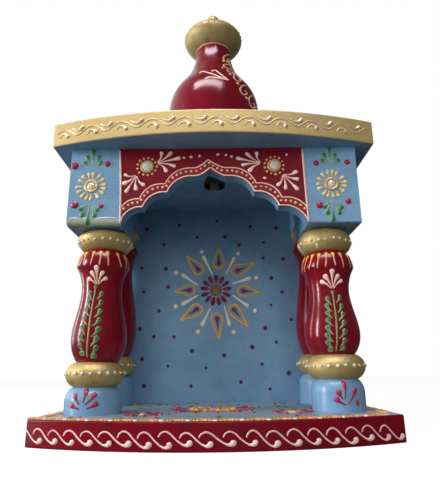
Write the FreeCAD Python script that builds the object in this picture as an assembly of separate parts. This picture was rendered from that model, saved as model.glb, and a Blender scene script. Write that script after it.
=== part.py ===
import FreeCAD, Part
import math
import os
from FreeCAD import Vector

# Small painted wooden home shrine: a bow-fronted base board and roof board held
# apart by a back wall, two front blocks on turned posts and two rear posts, with a
# cusped arch panel between the blocks and a bell dome with a turned finial on top.
# Millimetres, +Z up, front towards -Y, origin under the middle of the whole.

# Boards
base_width = 250.0
base_thickness = 17.5
base_bow = 29.0
roof_overhang = 3.5
roof_thickness = 20.2
roof_bow = 21.0
roof_bottom_z = 220.6
front_corner_y = -69.5
roof_setback = 6.4
back_y = 98.5
edge_rounding = 1.2
on_axis = 0.001

# Front blocks and the arch panel between them
block_margin = 11.0
block_width = 41.7
block_depth = 54.0
block_height = 64.3
block_setback = 10.8
block_rounding = 1.5
worn_rounding = 4.0
panel_thickness = 12.0
panel_side_gap = 0.3
arch_offset = -2.5
arch_spring_rise = 2.0
lower_cusp_x = 53.0
lower_cusp_rise = 14.0
upper_cusp_x = 34.2
upper_cusp_rise = 26.2
ogee_x = 12.0
ogee_rise = 39.6
apex_rise = 47.2
flick_share = 0.45
flick_lift = 0.73

# Back wall
wall_margin = 4.0
wall_thickness = 9.0
wall_front_y = 80.5

# Turned posts, each a little different from the next; shares are of a piece's own height
post_inset = 1.1
left_post_lean = 0.021
right_post_lean = 0.015
foot_shoulder = 9.2
ring_end_radius = 15.6
ring_fullness = 0.15
lower_ring_radius = 22.0
lower_ring_height = 17.8
lower_ring_crest = 0.53
belly_radius = 21.0
waist_radius = 15.6
throat_radius = 16.9
throat_drop = 8.5
shoulder_radius = 20.4
shoulder_fullness = 0.08
left_foot_radius = 20.9
left_foot_height = 19.1
left_upper_ring_radius = 22.2
left_upper_ring_height = 15.7
left_upper_ring_crest = 0.7
left_belly_share = 0.197
left_waist_share = 0.645
left_shoulder_share = 0.848
right_foot_radius = 19.6
right_foot_height = 22.6
right_upper_ring_radius = 21.3
right_upper_ring_height = 18.8
right_upper_ring_crest = 0.48
right_belly_share = 0.16
right_waist_share = 0.6
right_shoulder_share = 0.837
rear_post_margin = 24.7
rear_post_gap = 0.2
rear_foot_radius = 21.2
rear_foot_height = 26.5
rear_upper_ring_radius = 21.0
rear_upper_ring_height = 17.0
rear_upper_ring_crest = 0.5
rear_belly_share = 0.16
rear_waist_share = 0.7
rear_shoulder_share = 0.918
rear_cap_width = 36.0
rear_cap_height = 29.1

# Dome, finial and the screw that holds them to the roof
dome_y = 18.5
dome_height = 132.7
dome_seat_radius = 40.0
dome_belly_radius = 45.6
dome_brow_radius = 40.2
dome_shoulder_radius = 29.0
dome_collar_radius = 20.0
dome_neck_radius = 18.2
dome_belly_share = 0.337
dome_brow_share = 0.592
dome_shoulder_share = 0.715
dome_collar_share = 0.869
finial_radius = 30.2
finial_bowl = 18.8
finial_cap = 13.4
knob_radius = 7.0
knob_neck_radius = 5.0
knob_rise = 19.0
screw_recess_radius = 9.6
screw_recess_depth = 9.0
screw_head_radius = 4.8
screw_head_height = 2.6
screw_radius = 2.2
screw_grip = 35.0

# Mirror gems set on the painted flowers
gem_rise = 1.4
block_gem_radius = 3.6
panel_gem_radius = 4.3
panel_gem_share = 0.702
panel_gem_drop = 15.6
wall_gem_radius = 5.4
wall_gem_rise = 112.4
left_flower_shift = 3.5
floor_gem_radius = 4.6
floor_gem_reach = 87.7
side_floor_gem_reach = 120.6
side_floor_gem_share = 0.448

block_outer_x = base_width / 2 - block_margin
block_inner_x = block_outer_x - block_width
block_bottom_z = roof_bottom_z - block_height
block_front_y = front_corner_y + block_setback
front_post_x = (block_inner_x + block_outer_x) / 2 - post_inset
front_post_y = block_front_y + block_depth / 2
rear_post_x = base_width / 2 - rear_post_margin
rear_post_y = wall_front_y - lower_ring_radius - rear_post_gap
rear_cap_bottom_z = roof_bottom_z - rear_cap_height
roof_top_z = roof_bottom_z + roof_thickness


def save(shape, name):
    """Write one piece of the shrine as its own STEP file."""
    shape.exportStep(os.path.join("parts", name + ".step"))


def box(x0, x1, y0, y1, z0, z1):
    """Straight-edged block between the given limits."""
    return Part.makeBox(x1 - x0, y1 - y0, z1 - z0, Vector(x0, y0, z0))


def lathe(outline, x, y, z):
    """Turn an outline of radius-height edges, closed along the axis, into a solid."""
    start = outline[0].valueAt(outline[0].FirstParameter)
    end = outline[-1].valueAt(outline[-1].LastParameter)
    low = Vector(0, 0, start.z)
    high = Vector(0, 0, end.z)
    closing = [Part.makeLine(high, low), Part.makeLine(low, start)]
    if end.x > on_axis:
        closing.insert(0, Part.makeLine(end, high))
    turned = Part.Face(Part.Wire(outline + closing)).revolve(Vector(0, 0, 0), Vector(0, 0, 1), 360)
    turned.translate(Vector(x, y, z))
    return turned


def arc(first, middle, last):
    """Circular edge through three points."""
    return Part.Arc(first, middle, last).toShape()


def curve(points):
    """Smooth edge through a few points."""
    spline = Part.BSplineCurve()
    spline.interpolate(points)
    return spline.toShape()


def bowed_board(width, corner_y, bow, bottom_z, thickness):
    """Flat board whose front edge swells forward in a shallow arc."""
    half = width / 2
    front_left = Vector(-half, corner_y, bottom_z)
    front_right = Vector(half, corner_y, bottom_z)
    back_right = Vector(half, back_y, bottom_z)
    back_left = Vector(-half, back_y, bottom_z)
    front = arc(front_left, Vector(0, corner_y - bow, bottom_z), front_right)
    sides = Part.makePolygon([front_right, back_right, back_left, front_left])
    board = Part.Face(Part.Wire([front] + sides.Edges)).extrude(Vector(0, 0, thickness))
    return board.makeFillet(edge_rounding, board.Edges)


def foil(start, end):
    """Quarter-round cusp of the arch: rises steeply from start, lies level at end."""
    shoulder = math.sqrt(0.5)
    x = start.x + (end.x - start.x) * (1 - shoulder)
    z = start.z + (end.z - start.z) * shoulder
    return arc(start, Vector(x, start.y, z), end)


def arch_side(side, y):
    """Half of the cusped arch line, from the springing to the apex."""
    def at(x, rise):
        return Vector(arch_offset + side * x, y, block_bottom_z + rise)

    spring = Vector(side * (block_inner_x - panel_side_gap), y, block_bottom_z + arch_spring_rise)
    lower_cusp = at(lower_cusp_x, lower_cusp_rise)
    upper_cusp = at(upper_cusp_x, upper_cusp_rise)
    ogee = at(ogee_x, ogee_rise)
    apex = at(0, apex_rise)
    flick = at(ogee_x * flick_share, ogee_rise + (apex_rise - ogee_rise) * (1 - flick_share) * flick_lift)
    return [foil(spring, lower_cusp), foil(lower_cusp, upper_cusp), foil(upper_cusp, ogee),
            arc(ogee, flick, apex)]


def arch_panel():
    """Cusped arch board hung between the two blocks under the roof."""
    half = block_inner_x - panel_side_gap
    y = block_front_y
    top_left = Vector(-half, y, roof_bottom_z)
    top_right = Vector(half, y, roof_bottom_z)
    left = arch_side(-1, y)
    right = arch_side(1, y)
    left_foot = left[0].valueAt(left[0].FirstParameter)
    right_foot = right[0].valueAt(right[0].FirstParameter)
    frame = Part.makePolygon([left_foot, top_left, top_right, right_foot])
    outline = Part.Wire(Part.__sortEdges__(frame.Edges + left + right))
    return Part.Face(outline).extrude(Vector(0, panel_thickness, 0))


def front_block(side, lower_rounding):
    """Square block over a front post, softened, more so along its lower front edge."""
    inner = side * block_inner_x
    outer = side * block_outer_x
    block = box(min(inner, outer), max(inner, outer), block_front_y, block_front_y + block_depth,
                block_bottom_z, roof_bottom_z)
    lower_front = [edge for edge in block.Edges
                   if abs(edge.CenterOfMass.z - block_bottom_z) < edge_rounding
                   and abs(edge.CenterOfMass.y - block_front_y) < edge_rounding]
    block = block.makeFillet(lower_rounding, lower_front)
    outer_back = [edge for edge in block.Edges
                  if abs(abs(edge.CenterOfMass.x) - block_outer_x) < edge_rounding
                  and abs(edge.CenterOfMass.y - block_front_y - block_depth) < edge_rounding]
    return block.makeFillet(block_rounding, outer_back)


def swollen(first, last, fullness):
    """Arc that stands out from its chord, away from the axis, by a share of its length."""
    chord = last - first
    out = Vector(chord.z, 0, -chord.x)
    return arc(first, (first + last) * 0.5 + out * fullness, last)


def post_foot(radius, height):
    """Plain turned foot whose side runs smoothly over into a rounded top."""
    step = radius - ring_end_radius
    bend = (foot_shoulder ** 2 + step ** 2) / (2 * step)
    half_angle = math.asin(foot_shoulder / bend) / 2
    low = Vector(radius, 0, height - foot_shoulder)
    middle = low + Vector(bend * (math.cos(half_angle) - 1), 0, bend * math.sin(half_angle))
    side = Part.makeLine(Vector(radius, 0, 0), low)
    return [side, arc(low, middle, Vector(ring_end_radius, 0, height))]


def post_ring(radius, height, crest_share):
    """Fat gilt ring, rounded above and below a slight crest."""
    crest = Vector(radius, 0, height * crest_share)
    return [swollen(Vector(ring_end_radius, 0, 0), crest, ring_fullness),
            swollen(crest, Vector(ring_end_radius, 0, height), ring_fullness)]


def post_body(height, belly_share, waist_share, shoulder_share):
    """Vase-shaped turned body: low belly, long waist and a crisp high shoulder."""
    shoulder = Vector(shoulder_radius, 0, height * shoulder_share)
    return [curve([Vector(ring_end_radius, 0, 0),
                   Vector(belly_radius, 0, height * belly_share),
                   Vector(waist_radius, 0, height * waist_share),
                   Vector(throat_radius, 0, shoulder.z - throat_drop),
                   shoulder]),
            swollen(shoulder, Vector(ring_end_radius, 0, height), shoulder_fullness)]


def dome_outline():
    """Pear-shaped bell: full belly, round shoulder, hollow sweep to a straight neck."""
    return [curve([Vector(dome_seat_radius, 0, 0),
                   Vector(dome_belly_radius, 0, dome_height * dome_belly_share),
                   Vector(dome_brow_radius, 0, dome_height * dome_brow_share),
                   Vector(dome_shoulder_radius, 0, dome_height * dome_shoulder_share),
                   Vector(dome_collar_radius, 0, dome_height * dome_collar_share),
                   Vector(dome_neck_radius, 0, dome_height)])]


def finial_outline():
    """Flattened pot with a deep bowl, a low cap and a knob on a short neck."""
    bowl_rise = finial_bowl * math.sqrt(1 - (dome_neck_radius / finial_radius) ** 2)
    diagonal = math.sqrt(0.5)
    neck_low = Vector(knob_neck_radius, 0, bowl_rise + finial_cap)
    pot = curve([Vector(dome_neck_radius, 0, 0),
                 Vector(finial_radius * diagonal, 0, bowl_rise - finial_bowl * diagonal),
                 Vector(finial_radius, 0, bowl_rise),
                 Vector(finial_radius * diagonal, 0, bowl_rise + finial_cap * diagonal),
                 neck_low])
    knob_top = neck_low.z + knob_rise
    knob_middle = knob_top - knob_radius
    drop = math.sqrt(knob_radius ** 2 - knob_neck_radius ** 2)
    neck_high = Vector(knob_neck_radius, 0, knob_middle - drop)
    neck = Part.makeLine(neck_low, neck_high)
    return [pot, neck, arc(neck_high, Vector(knob_radius, 0, knob_middle), Vector(0, 0, knob_top))]


def gem(radius, x, y, z, facing):
    """Low round mirror gem lying on a face that looks along the given direction."""
    sphere = (radius ** 2 + gem_rise ** 2) / (2 * gem_rise)
    half_angle = math.asin(radius / sphere) / 2
    middle = Vector(sphere * math.sin(half_angle), 0, gem_rise - sphere * (1 - math.cos(half_angle)))
    cap = arc(Vector(radius, 0, 0), middle, Vector(0, 0, gem_rise))
    base = Part.makeLine(Vector(0, 0, 0), Vector(radius, 0, 0))
    axis = Part.makeLine(Vector(0, 0, gem_rise), Vector(0, 0, 0))
    stone = Part.Face(Part.Wire([base, cap, axis])).revolve(Vector(0, 0, 0), Vector(0, 0, 1), 360)
    stone.Placement = FreeCAD.Placement(Vector(x, y, z), FreeCAD.Rotation(Vector(0, 0, 1), facing))
    return stone


def build_post(name, x, y, lean, top_z, foot, upper_ring, shares):
    """Stack the turned pieces of one post on the base board, each a little further over."""
    foot_radius, foot_height = foot
    ring_radius, ring_height, ring_crest = upper_ring
    body_height = top_z - base_thickness - foot_height - lower_ring_height - ring_height
    pieces = [("_foot", foot_height, post_foot(foot_radius, foot_height)),
              ("_lower_ring", lower_ring_height,
               post_ring(lower_ring_radius, lower_ring_height, lower_ring_crest)),
              ("_post_body", body_height, post_body(body_height, *shares)),
              ("_upper_ring", ring_height, post_ring(ring_radius, ring_height, ring_crest))]
    z = base_thickness
    for suffix, height, outline in pieces:
        over = lean * (z + height / 2 - base_thickness)
        save(lathe(outline, x + over, y, z), name + suffix)
        z += height


def build_boards():
    """Base, drilled roof, back wall, blocks and the arch panel between them."""
    save(bowed_board(base_width, front_corner_y, base_bow, 0, base_thickness), "base_slab")
    roof = bowed_board(base_width + 2 * roof_overhang, front_corner_y + roof_setback, roof_bow,
                       roof_bottom_z, roof_thickness)
    middle = Vector(0, dome_y, roof_bottom_z)
    recess = Part.makeCylinder(screw_recess_radius, screw_recess_depth, middle)
    bore = Part.makeCylinder(screw_radius, roof_thickness, middle)
    save(roof.cut(recess.fuse(bore)), "roof_slab")
    wall_half = base_width / 2 - wall_margin
    save(box(-wall_half, wall_half, wall_front_y, wall_front_y + wall_thickness,
             base_thickness, roof_bottom_z), "back_wall")
    save(front_block(-1, worn_rounding), "left_front_block")
    save(front_block(1, block_rounding), "right_front_block")
    save(arch_panel(), "arch_panel")


def build_posts():
    """Four turned posts, the front pair leaning inward, the rear pair taller and capped."""
    build_post("front_left", -front_post_x, front_post_y, left_post_lean, block_bottom_z,
               (left_foot_radius, left_foot_height),
               (left_upper_ring_radius, left_upper_ring_height, left_upper_ring_crest),
               (left_belly_share, left_waist_share, left_shoulder_share))
    build_post("front_right", front_post_x, front_post_y, -right_post_lean, block_bottom_z,
               (right_foot_radius, right_foot_height),
               (right_upper_ring_radius, right_upper_ring_height, right_upper_ring_crest),
               (right_belly_share, right_waist_share, right_shoulder_share))
    for side, hand in ((-1, "left"), (1, "right")):
        x = side * rear_post_x
        build_post("rear_" + hand, x, rear_post_y, 0, rear_cap_bottom_z,
                   (rear_foot_radius, rear_foot_height),
                   (rear_upper_ring_radius, rear_upper_ring_height, rear_upper_ring_crest),
                   (rear_belly_share, rear_waist_share, rear_shoulder_share))
        save(box(x - rear_cap_width / 2, x + rear_cap_width / 2, 2 * rear_post_y - wall_front_y,
                 wall_front_y, rear_cap_bottom_z, roof_bottom_z), "rear_" + hand + "_cap")


def build_top():
    """Dome and finial, held down by a screw driven up through the roof."""
    seat_z = roof_bottom_z + screw_recess_depth
    length = roof_top_z - seat_z + screw_grip
    shank = Part.makeCylinder(screw_radius, length, Vector(0, dome_y, seat_z))
    head = Part.makeCylinder(screw_head_radius, screw_head_height,
                             Vector(0, dome_y, seat_z - screw_head_height))
    save(lathe(dome_outline(), 0, dome_y, roof_top_z).cut(shank), "dome")
    save(lathe(finial_outline(), 0, dome_y, roof_top_z + dome_height), "finial")
    save(head.fuse(shank).removeSplitter(), "dome_screw")


def build_gems():
    """Mirror gems on the blocks, the arch panel, the wall and the floor."""
    forward = Vector(0, -1, 0)
    block_x = (block_inner_x + block_outer_x) / 2
    block_z = (block_bottom_z + roof_bottom_z) / 2
    for side, hand in ((-1, "left"), (1, "right")):
        x = side * block_x - (left_flower_shift if side < 0 else 0)
        save(gem(block_gem_radius, x, block_front_y, block_z, forward), hand + "_block_gem")
        x = arch_offset + side * block_inner_x * panel_gem_share
        save(gem(panel_gem_radius, x, block_front_y, roof_bottom_z - panel_gem_drop, forward),
             hand + "_panel_gem")
    save(gem(wall_gem_radius, 0, wall_front_y, base_thickness + wall_gem_rise, forward), "wall_gem")
    up = Vector(0, 0, 1)
    save(gem(floor_gem_radius, arch_offset, wall_front_y - floor_gem_reach, base_thickness, up),
         "middle_floor_gem")
    save(gem(floor_gem_radius, base_width / 2 * side_floor_gem_share,
             wall_front_y - side_floor_gem_reach, base_thickness, up), "right_floor_gem")


os.makedirs("parts", exist_ok=True)
build_boards()
build_posts()
build_top()
build_gems()
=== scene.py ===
"""Paint and raised ornament for a small wooden home shrine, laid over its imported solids."""

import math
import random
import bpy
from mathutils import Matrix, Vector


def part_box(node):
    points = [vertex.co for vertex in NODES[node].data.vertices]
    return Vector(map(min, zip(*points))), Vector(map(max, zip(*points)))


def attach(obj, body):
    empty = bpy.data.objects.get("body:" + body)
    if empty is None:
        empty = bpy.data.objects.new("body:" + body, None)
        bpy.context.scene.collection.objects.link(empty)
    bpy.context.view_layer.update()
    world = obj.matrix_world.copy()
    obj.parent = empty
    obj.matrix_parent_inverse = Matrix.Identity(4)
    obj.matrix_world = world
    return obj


bl_info = {
    "name": "Pooja mandir paint",
    "version": (1, 0, 0),
    "blender": (4, 5, 0),
    "location": "3D View > Sidebar > Mandir",
    "description": "Enamel, gold paint and raised relief painting for a wooden home shrine",
    "category": "Object",
}

import bpy
from mathutils import Matrix, Vector
from mathutils.bvhtree import BVHTree

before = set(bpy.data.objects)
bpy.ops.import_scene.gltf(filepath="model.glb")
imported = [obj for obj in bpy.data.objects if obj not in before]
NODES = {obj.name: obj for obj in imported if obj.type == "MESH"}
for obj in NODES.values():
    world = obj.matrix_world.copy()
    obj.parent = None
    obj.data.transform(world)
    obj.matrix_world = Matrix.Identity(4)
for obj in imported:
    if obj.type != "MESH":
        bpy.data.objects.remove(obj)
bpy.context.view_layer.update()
MM = 0.001


def linear(code):
    """An sRGB hex colour as linear numbers."""
    shares = [int(code[place : place + 2], 16) / 255 for place in (1, 3, 5)]
    return [s / 12.92 if s <= 0.04045 else ((s + 0.055) / 1.055) ** 2.4 for s in shares]


def paint_colour(name, description, code):
    """A colour that a user may change."""
    return bpy.props.FloatVectorProperty(
        name=name, description=description, subtype="COLOR", min=0.0, max=1.0, default=linear(code)
    )


def small_length(name, description, size):
    """A length that a user may change, given in mm."""
    return bpy.props.FloatProperty(
        name=name, description=description, unit="LENGTH", precision=5, min=0.0, default=size * MM
    )


class MandirColours(bpy.types.PropertyGroup):
    """Colours of the paints"""

    blue: paint_colour("Sky blue", "Enamel on the blocks, feet, wall and roof", "#7da7c7")
    blue_deep: paint_colour("Deep sky blue", "The same enamel where it lies thick", "#678fb2")
    red: paint_colour("Crimson red", "Enamel on the posts, dome, arch and base edge", "#860c22")
    red_deep: paint_colour("Deep crimson", "The same enamel where it lies thick", "#6c081a")
    border: paint_colour("Brick red", "Band between the two lines of the arch", "#962019")
    gold: paint_colour("Gold", "Bronze-powder gold paint on rings and finial", "#bda66d")
    gold_dark: paint_colour("Dark gold", "Gold paint where dirt and thin spots show", "#77643a")
    gold_pale: paint_colour("Pale gold", "Fresher gold paint: roof edge, gem settings", "#cdb478")
    cream: paint_colour("Cream", "Raised white paint in its middle", "#f8dccf")
    pink: paint_colour("Pink cream", "Raised white paint at its thin rim", "#f5c3b8")
    ivory: paint_colour("Ivory", "White strokes of the wall, block edge and rings", "#fdf8ee")
    leaf: paint_colour("Leaf green", "Raised leaves", "#2c7443")
    # the leaves' pale rims are pale underpaint, made paler as a painted sheen along their edges
    leaf_pale_and_sheen: paint_colour("Pale leaf green", "Rims and tails of the leaves", "#86a878")
    saffron: paint_colour("Saffron", "Bulbs of the drips and the floor fans", "#efb54b")
    mustard: paint_colour("Mustard", "Outlined teardrops on the wall", "#efb833")
    peach: paint_colour("Peach", "Tails of the drips, rims of the arch dots", "#eaa78c")
    lemon: paint_colour("Pale lemon", "Petals of the block flowers", "#f3dc96")
    rose: paint_colour("Rose crimson", "Raised crimson drops and dots", "#b51f45")
    maroon: paint_colour("Maroon", "Painted dots on wall and floor", "#5e1540")


class MandirSizes(bpy.types.PropertyGroup):
    """Sizes of the raised painting"""

    arch_line: small_length("Arch line", "Width of the pale lines round the arch", 1.25)
    arch_band: small_length("Arch band", "Rise of the upper line over the lower one", 7.3)
    arch_dot: small_length("Arch dot", "Radius of the dots in the arch band", 1.1)
    bead: small_length("Bead", "Radius of the beads round the gold rings", 1.55)
    scroll_line: small_length("Scroll line", "Width of the scrolls on the base edge", 1.12)
    vine_line: small_length("Vine line", "Width of the vine on the roof edge", 1.1)
    vine_wave: small_length("Vine wave", "Length of one wave of the roof vine", 24.7)
    wall_dot: small_length("Wall dot", "Radius of the scattered dots on the wall", 2.05)


# Places on the painted faces

# half width, bow and y of the front of each bowed board, in mm
BASE_EDGE = (125.0, 29.0, -98.5)
ROOF_EDGE = (128.5, 21.0, -84.1)
# how far outside a curved face its rays start, in mm
CLEAR = 80.0


def front_aim(a, b):
    """From in front, at a across and b up."""
    return Vector((a, -300.0, b)) * MM, Vector((0.0, 1.0, 0.0))


def floor_aim(a, b):
    """From above, at a across and b back."""
    return Vector((a, b, 400.0)) * MM, Vector((0.0, 0.0, -1.0))


def side_aim(side):
    """From the left (-1) or right (1), at a towards the viewer's right and b up."""

    def aim(a, b):
        return Vector((side * 300.0, side * a, b)) * MM, Vector((-side, 0.0, 0.0))

    return aim


def outward(turn):
    """The level direction that is turned from straight in front, to the right."""
    return Vector((math.sin(turn), -math.cos(turn), 0.0))


def bow_circle(half_width, bow, front):
    """Radius of a bowed edge and y of its centre."""
    radius = (half_width**2 + bow**2) / (2 * bow)
    return radius, front + radius


def bow_aim(edge):
    """Square to a bowed front edge, at a along the edge and b up."""
    radius, middle = bow_circle(*edge)

    def aim(a, b):
        away = outward(a / radius)
        return (Vector((0.0, middle, b)) + away * (radius + CLEAR)) * MM, -away

    return aim


def turned_aim(axis, girth, facing=0.0):
    """Towards an axis: a is mm round a circle of radius girth, from facing degrees; b is height."""

    def aim(a, b):
        away = outward(math.radians(facing) + a / girth)
        return (Vector((axis[0], axis[1], b)) + away * CLEAR) * MM, -away

    return aim


class Chart:
    """A painted face: turns pattern places in mm into points on the wood."""

    def __init__(self, names, aim):
        points = []
        faces = []
        for name in names:
            mesh = NODES[name].data
            start = len(points)
            points.extend(vertex.co.copy() for vertex in mesh.vertices)
            faces.extend([start + corner for corner in face.vertices] for face in mesh.polygons)
        self.tree = BVHTree.FromPolygons(points, faces)
        self.aim = aim
        self.depth = None

    def point(self, a, b, lift):
        """The point at (a, b), lift mm above the wood; past its edge the last depth holds."""
        start, inward = self.aim(a, b)
        hit, _, _, distance = self.tree.ray_cast(start, inward)
        if hit is not None:
            self.depth = distance
        elif self.depth is None:
            raise RuntimeError(f"no wood under the pattern at {a:.1f}, {b:.1f}")
        return start + inward * (self.depth - lift * MM)


def node_centre(name):
    """Middle of a CAD node in mm."""
    low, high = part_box(name)
    return (low + high) / (2 * MM)


def around(centre, radius, angle):
    """The place at a radius and angle from a centre."""
    return centre[0] + radius * math.cos(angle), centre[1] + radius * math.sin(angle)


def wrapped(girth, places):
    """Azimuths in degrees and heights as places round a circle of radius girth."""
    return [(girth * math.radians(azimuth), height) for azimuth, height in places]


def smooth_line(places, count):
    """Places on a smooth line through the given ones, closer at both ends, with the way gone."""
    fine = [tuple(place) for place in places]
    if len(places) > 2:
        last = fine[-1]
        ends = [fine[0], *fine, last]
        fine = []
        for corners in zip(ends, ends[1:], ends[2:], ends[3:]):
            for t in [index / 8 for index in range(8)]:
                fine.append(
                    tuple(
                        0.5 * (2 * q + (r - p) * t + (2 * p - 5 * q + 4 * r - s) * t**2
                               + (3 * q - p - 3 * r + s) * t**3)
                        for p, q, r, s in zip(*corners)
                    )
                )
        fine.append(last)
    gone = [0.0]
    for here, there in zip(fine, fine[1:]):
        gone.append(gone[-1] + math.dist(here, there))
    length = gone[-1]
    line = []
    leg = 0
    for index in range(count + 1):
        target = length * (1 - math.cos(math.pi * index / count)) / 2
        while leg < len(fine) - 2 and gone[leg + 1] < target:
            leg += 1
        span = gone[leg + 1] - gone[leg]
        share = (target - gone[leg]) / span if span > 0 else 0.0
        here, there = fine[leg], fine[leg + 1]
        line.append((*(a + (b - a) * share for a, b in zip(here, there)), target))
    return line, length


# Brush strokes

# A width function gives the half-width of a stroke in mm from the way gone and the length.


def drop_width(tail, bulb, power=3.0):
    """A drop: a fine tail that swells to a round bulb at its far end."""

    def width(gone, length):
        neck = max(length - bulb, length * 0.3)
        if gone > neck:
            return bulb * math.sqrt(max(0.0, 1 - ((gone - neck) / (length - neck)) ** 2))
        swell = (gone / neck) ** power
        return (tail + (bulb - tail) * swell) * min(1.0, 0.25 + gone / (2 * tail + 0.01))

    return width


def bulb_width(tail, bulb, reach, power, blunt):
    """An even line that swells over its last reach mm to a round bulb, blunt at its start."""

    def width(gone, length):
        neck = length - bulb
        if gone > neck:
            return bulb * math.sqrt(max(0.0, 1 - ((gone - neck) / bulb) ** 2))
        swell = max(0.0, 1 - (neck - gone) / reach) ** power
        return (tail + (bulb - tail) * swell) * min(1.0, blunt + gone)

    return width


def drip_width(tail, bulb):
    """A drip: it swells only close to its bulb."""
    return bulb_width(tail, bulb, 3.6, 1.5, 0.4)


def scroll_width(tail, bulb):
    """A scroll: it swells a little sooner."""
    return bulb_width(tail, bulb, 4.5, 1.6, 0.5)


def leaf_width(half):
    """A leaf or petal, pointed at both ends."""

    def width(gone, length):
        return half * max(0.0, math.sin(math.pi * (gone / length) ** 0.8)) ** 0.8

    return width


def line_width(half):
    """An even line with round ends."""

    def width(gone, length):
        near = min(gone, length - gone, half)
        return math.sqrt(max(0.0, half**2 - (half - near) ** 2))

    return width


def add_mesh(name, points, faces, material):
    """A new mesh object in the scene."""
    mesh = bpy.data.meshes.new(name)
    mesh.from_pydata(points, [], faces)
    mesh.materials.append(bpy.data.materials[material])
    mesh.update()
    thing = bpy.data.objects.new(name, mesh)
    bpy.context.scene.collection.objects.link(thing)
    return thing


class Relief:
    """Raised paint for one piece, put on stroke by stroke, with its own seeded chance.

    Fullness is height over half-width. Each point keeps the stroke's tone, its place across
    and its place along."""

    SIDES = 6  # faces across a stroke
    SINK = 0.12  # how deep the rim sits in the wood, in mm

    def __init__(self, seed, fullness):
        self.random = random.Random(seed)
        self.fullness = fullness
        self.points = []
        self.faces = []
        self.marks = []

    def add(self, point, *marks):
        """Keeps one point with its marks."""
        self.points.append(point)
        self.marks.append(marks)

    def stroke(self, chart, places, width, count=10, wobble=0.08):
        """One brush stroke through places, as wide as width says."""
        line, length = smooth_line(places, count)
        tone = self.random.uniform(-1, 1)
        swell = 1 + self.random.uniform(-wobble, wobble)
        start = len(self.points)
        for index, (a, b, gone) in enumerate(line):
            before = line[max(index - 1, 0)]
            after = line[min(index + 1, count)]
            along = math.hypot(after[0] - before[0], after[1] - before[1]) or 1.0
            left = (-(after[1] - before[1]) / along, (after[0] - before[0]) / along)
            half = width(gone, length) * swell
            for side in range(self.SIDES + 1):
                across = -math.cos(math.pi * side / self.SIDES)
                crown = math.sin(math.pi * side / self.SIDES)
                lift = (half * self.fullness + self.SINK) * crown - self.SINK
                place = (a + left[0] * across * half, b + left[1] * across * half)
                self.add(chart.point(*place, lift), tone, crown, gone / length)
        row = self.SIDES + 1
        for index in range(count):
            for corner in range(start + index * row, start + index * row + self.SIDES):
                self.faces.append((corner, corner + row, corner + row + 1, corner + 1))

    def dot(self, chart, a, b, radius, segments=10, rings=3, wobble=0.08, stretch=1.0):
        """One round dab of paint, stretch times as high as wide."""
        tone = self.random.uniform(-1, 1)
        radius *= 1 + self.random.uniform(-wobble, wobble)
        start = len(self.points)
        for ring in range(rings):
            climb = math.pi / 2 * ring / rings
            out = radius * math.cos(climb)
            lift = (radius * self.fullness + self.SINK) * math.sin(climb) - self.SINK
            for segment in range(segments):
                turn = 2 * math.pi * segment / segments
                place = (a + out * math.cos(turn), b + out * stretch * math.sin(turn))
                self.add(chart.point(*place, lift), tone, math.sin(climb), 1.0)
        self.add(chart.point(a, b, radius * self.fullness), tone, 1.0, 1.0)
        for ring in range(rings):
            for segment in range(segments):
                here = start + ring * segments + segment
                beside = start + ring * segments + (segment + 1) % segments
                if ring < rings - 1:
                    self.faces.append((here, beside, beside + segments, here + segments))
                else:
                    self.faces.append((here, beside, start + rings * segments))

    def drop(self, chart, start, tip, bulb, tail=0.4, bend=0.0, power=3.0):
        """A drop from its tail at start to its bulb at tip, bent left by bend of its length."""
        places = [start, tip]
        if bend:
            (a, b), (c, d) = start, tip
            places.insert(1, ((a + c) / 2 - (d - b) * bend, (b + d) / 2 + (c - a) * bend))
        self.stroke(chart, places, drop_width(tail, bulb, power))

    def spray(self, chart, base, tips, bulb, tail, gap, curl):
        """A fan of drops from gap of the way out of one place, curled outwards."""
        ways = [(tip[0] - base[0], tip[1] - base[1]) for tip in tips]
        middle = Vector((sum(way[0] for way in ways), sum(way[1] for way in ways)))
        for tip, way in zip(tips, map(Vector, ways)):
            start = (base[0] + way.x * gap, base[1] + way.y * gap)
            bend = curl * middle.angle_signed(way)
            self.drop(chart, start, tip, bulb * self.random.uniform(0.88, 1.1), tail, bend)

    def ring(self, chart, centre, radius, half):
        """A round line about a place, its end laid over its start."""
        step = (2 * math.pi + 2 * half / radius) / 16
        places = [around(centre, radius, step * index) for index in range(17)]
        self.stroke(chart, places, line_width(half), 28)

    def petals(self, chart, centre, count, inner, outer, width, turn=0.0, stray=0.0):
        """Petals all round a place, from inner to outer mm."""
        for index in range(count):
            angle = turn + 2 * math.pi * index / count + self.random.uniform(-stray, stray)
            reach = outer + self.random.uniform(-1, 1) * stray * 4
            places = [around(centre, inner, angle), around(centre, reach, angle)]
            self.stroke(chart, places, width)

    def piece(self, name, material, slot=None):
        """Makes the collected paint a piece of the shrine."""
        piece = add_mesh(name, self.points, self.faces, material)
        mesh = piece.data
        attribute = mesh.attributes.new("stroke", "FLOAT_VECTOR", "POINT")
        attribute.data.foreach_set("vector", [number for mark in self.marks for number in mark])
        mesh.polygons.foreach_set("use_smooth", [True] * len(mesh.polygons))
        mesh.update()
        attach(piece, "root")


# Paints


def add_node(tree, kind, inputs=(), **settings):
    """Adds a node with its settings, sets or links its inputs, and gives its outputs.

    Inputs go by name or number, or as a list in the node's own order. For a MapRange that is
    the value, the span it comes from and the span it is mapped to, 0 to 1 if none is given."""
    node = tree.nodes.new("ShaderNode" + kind)
    for name, value in settings.items():
        setattr(node, name, value)
    for key, value in inputs.items() if isinstance(inputs, dict) else enumerate(inputs):
        socket = node.inputs[key]
        if isinstance(value, bpy.types.NodeSocket):
            tree.links.new(value, socket)
        else:
            socket.default_value = (*value, 1.0) if socket.type == "RGBA" else value
    return node.outputs


def per_size(size):
    """Noise scale for features of that size in mm."""
    return 1 / (size * MM)


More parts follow.
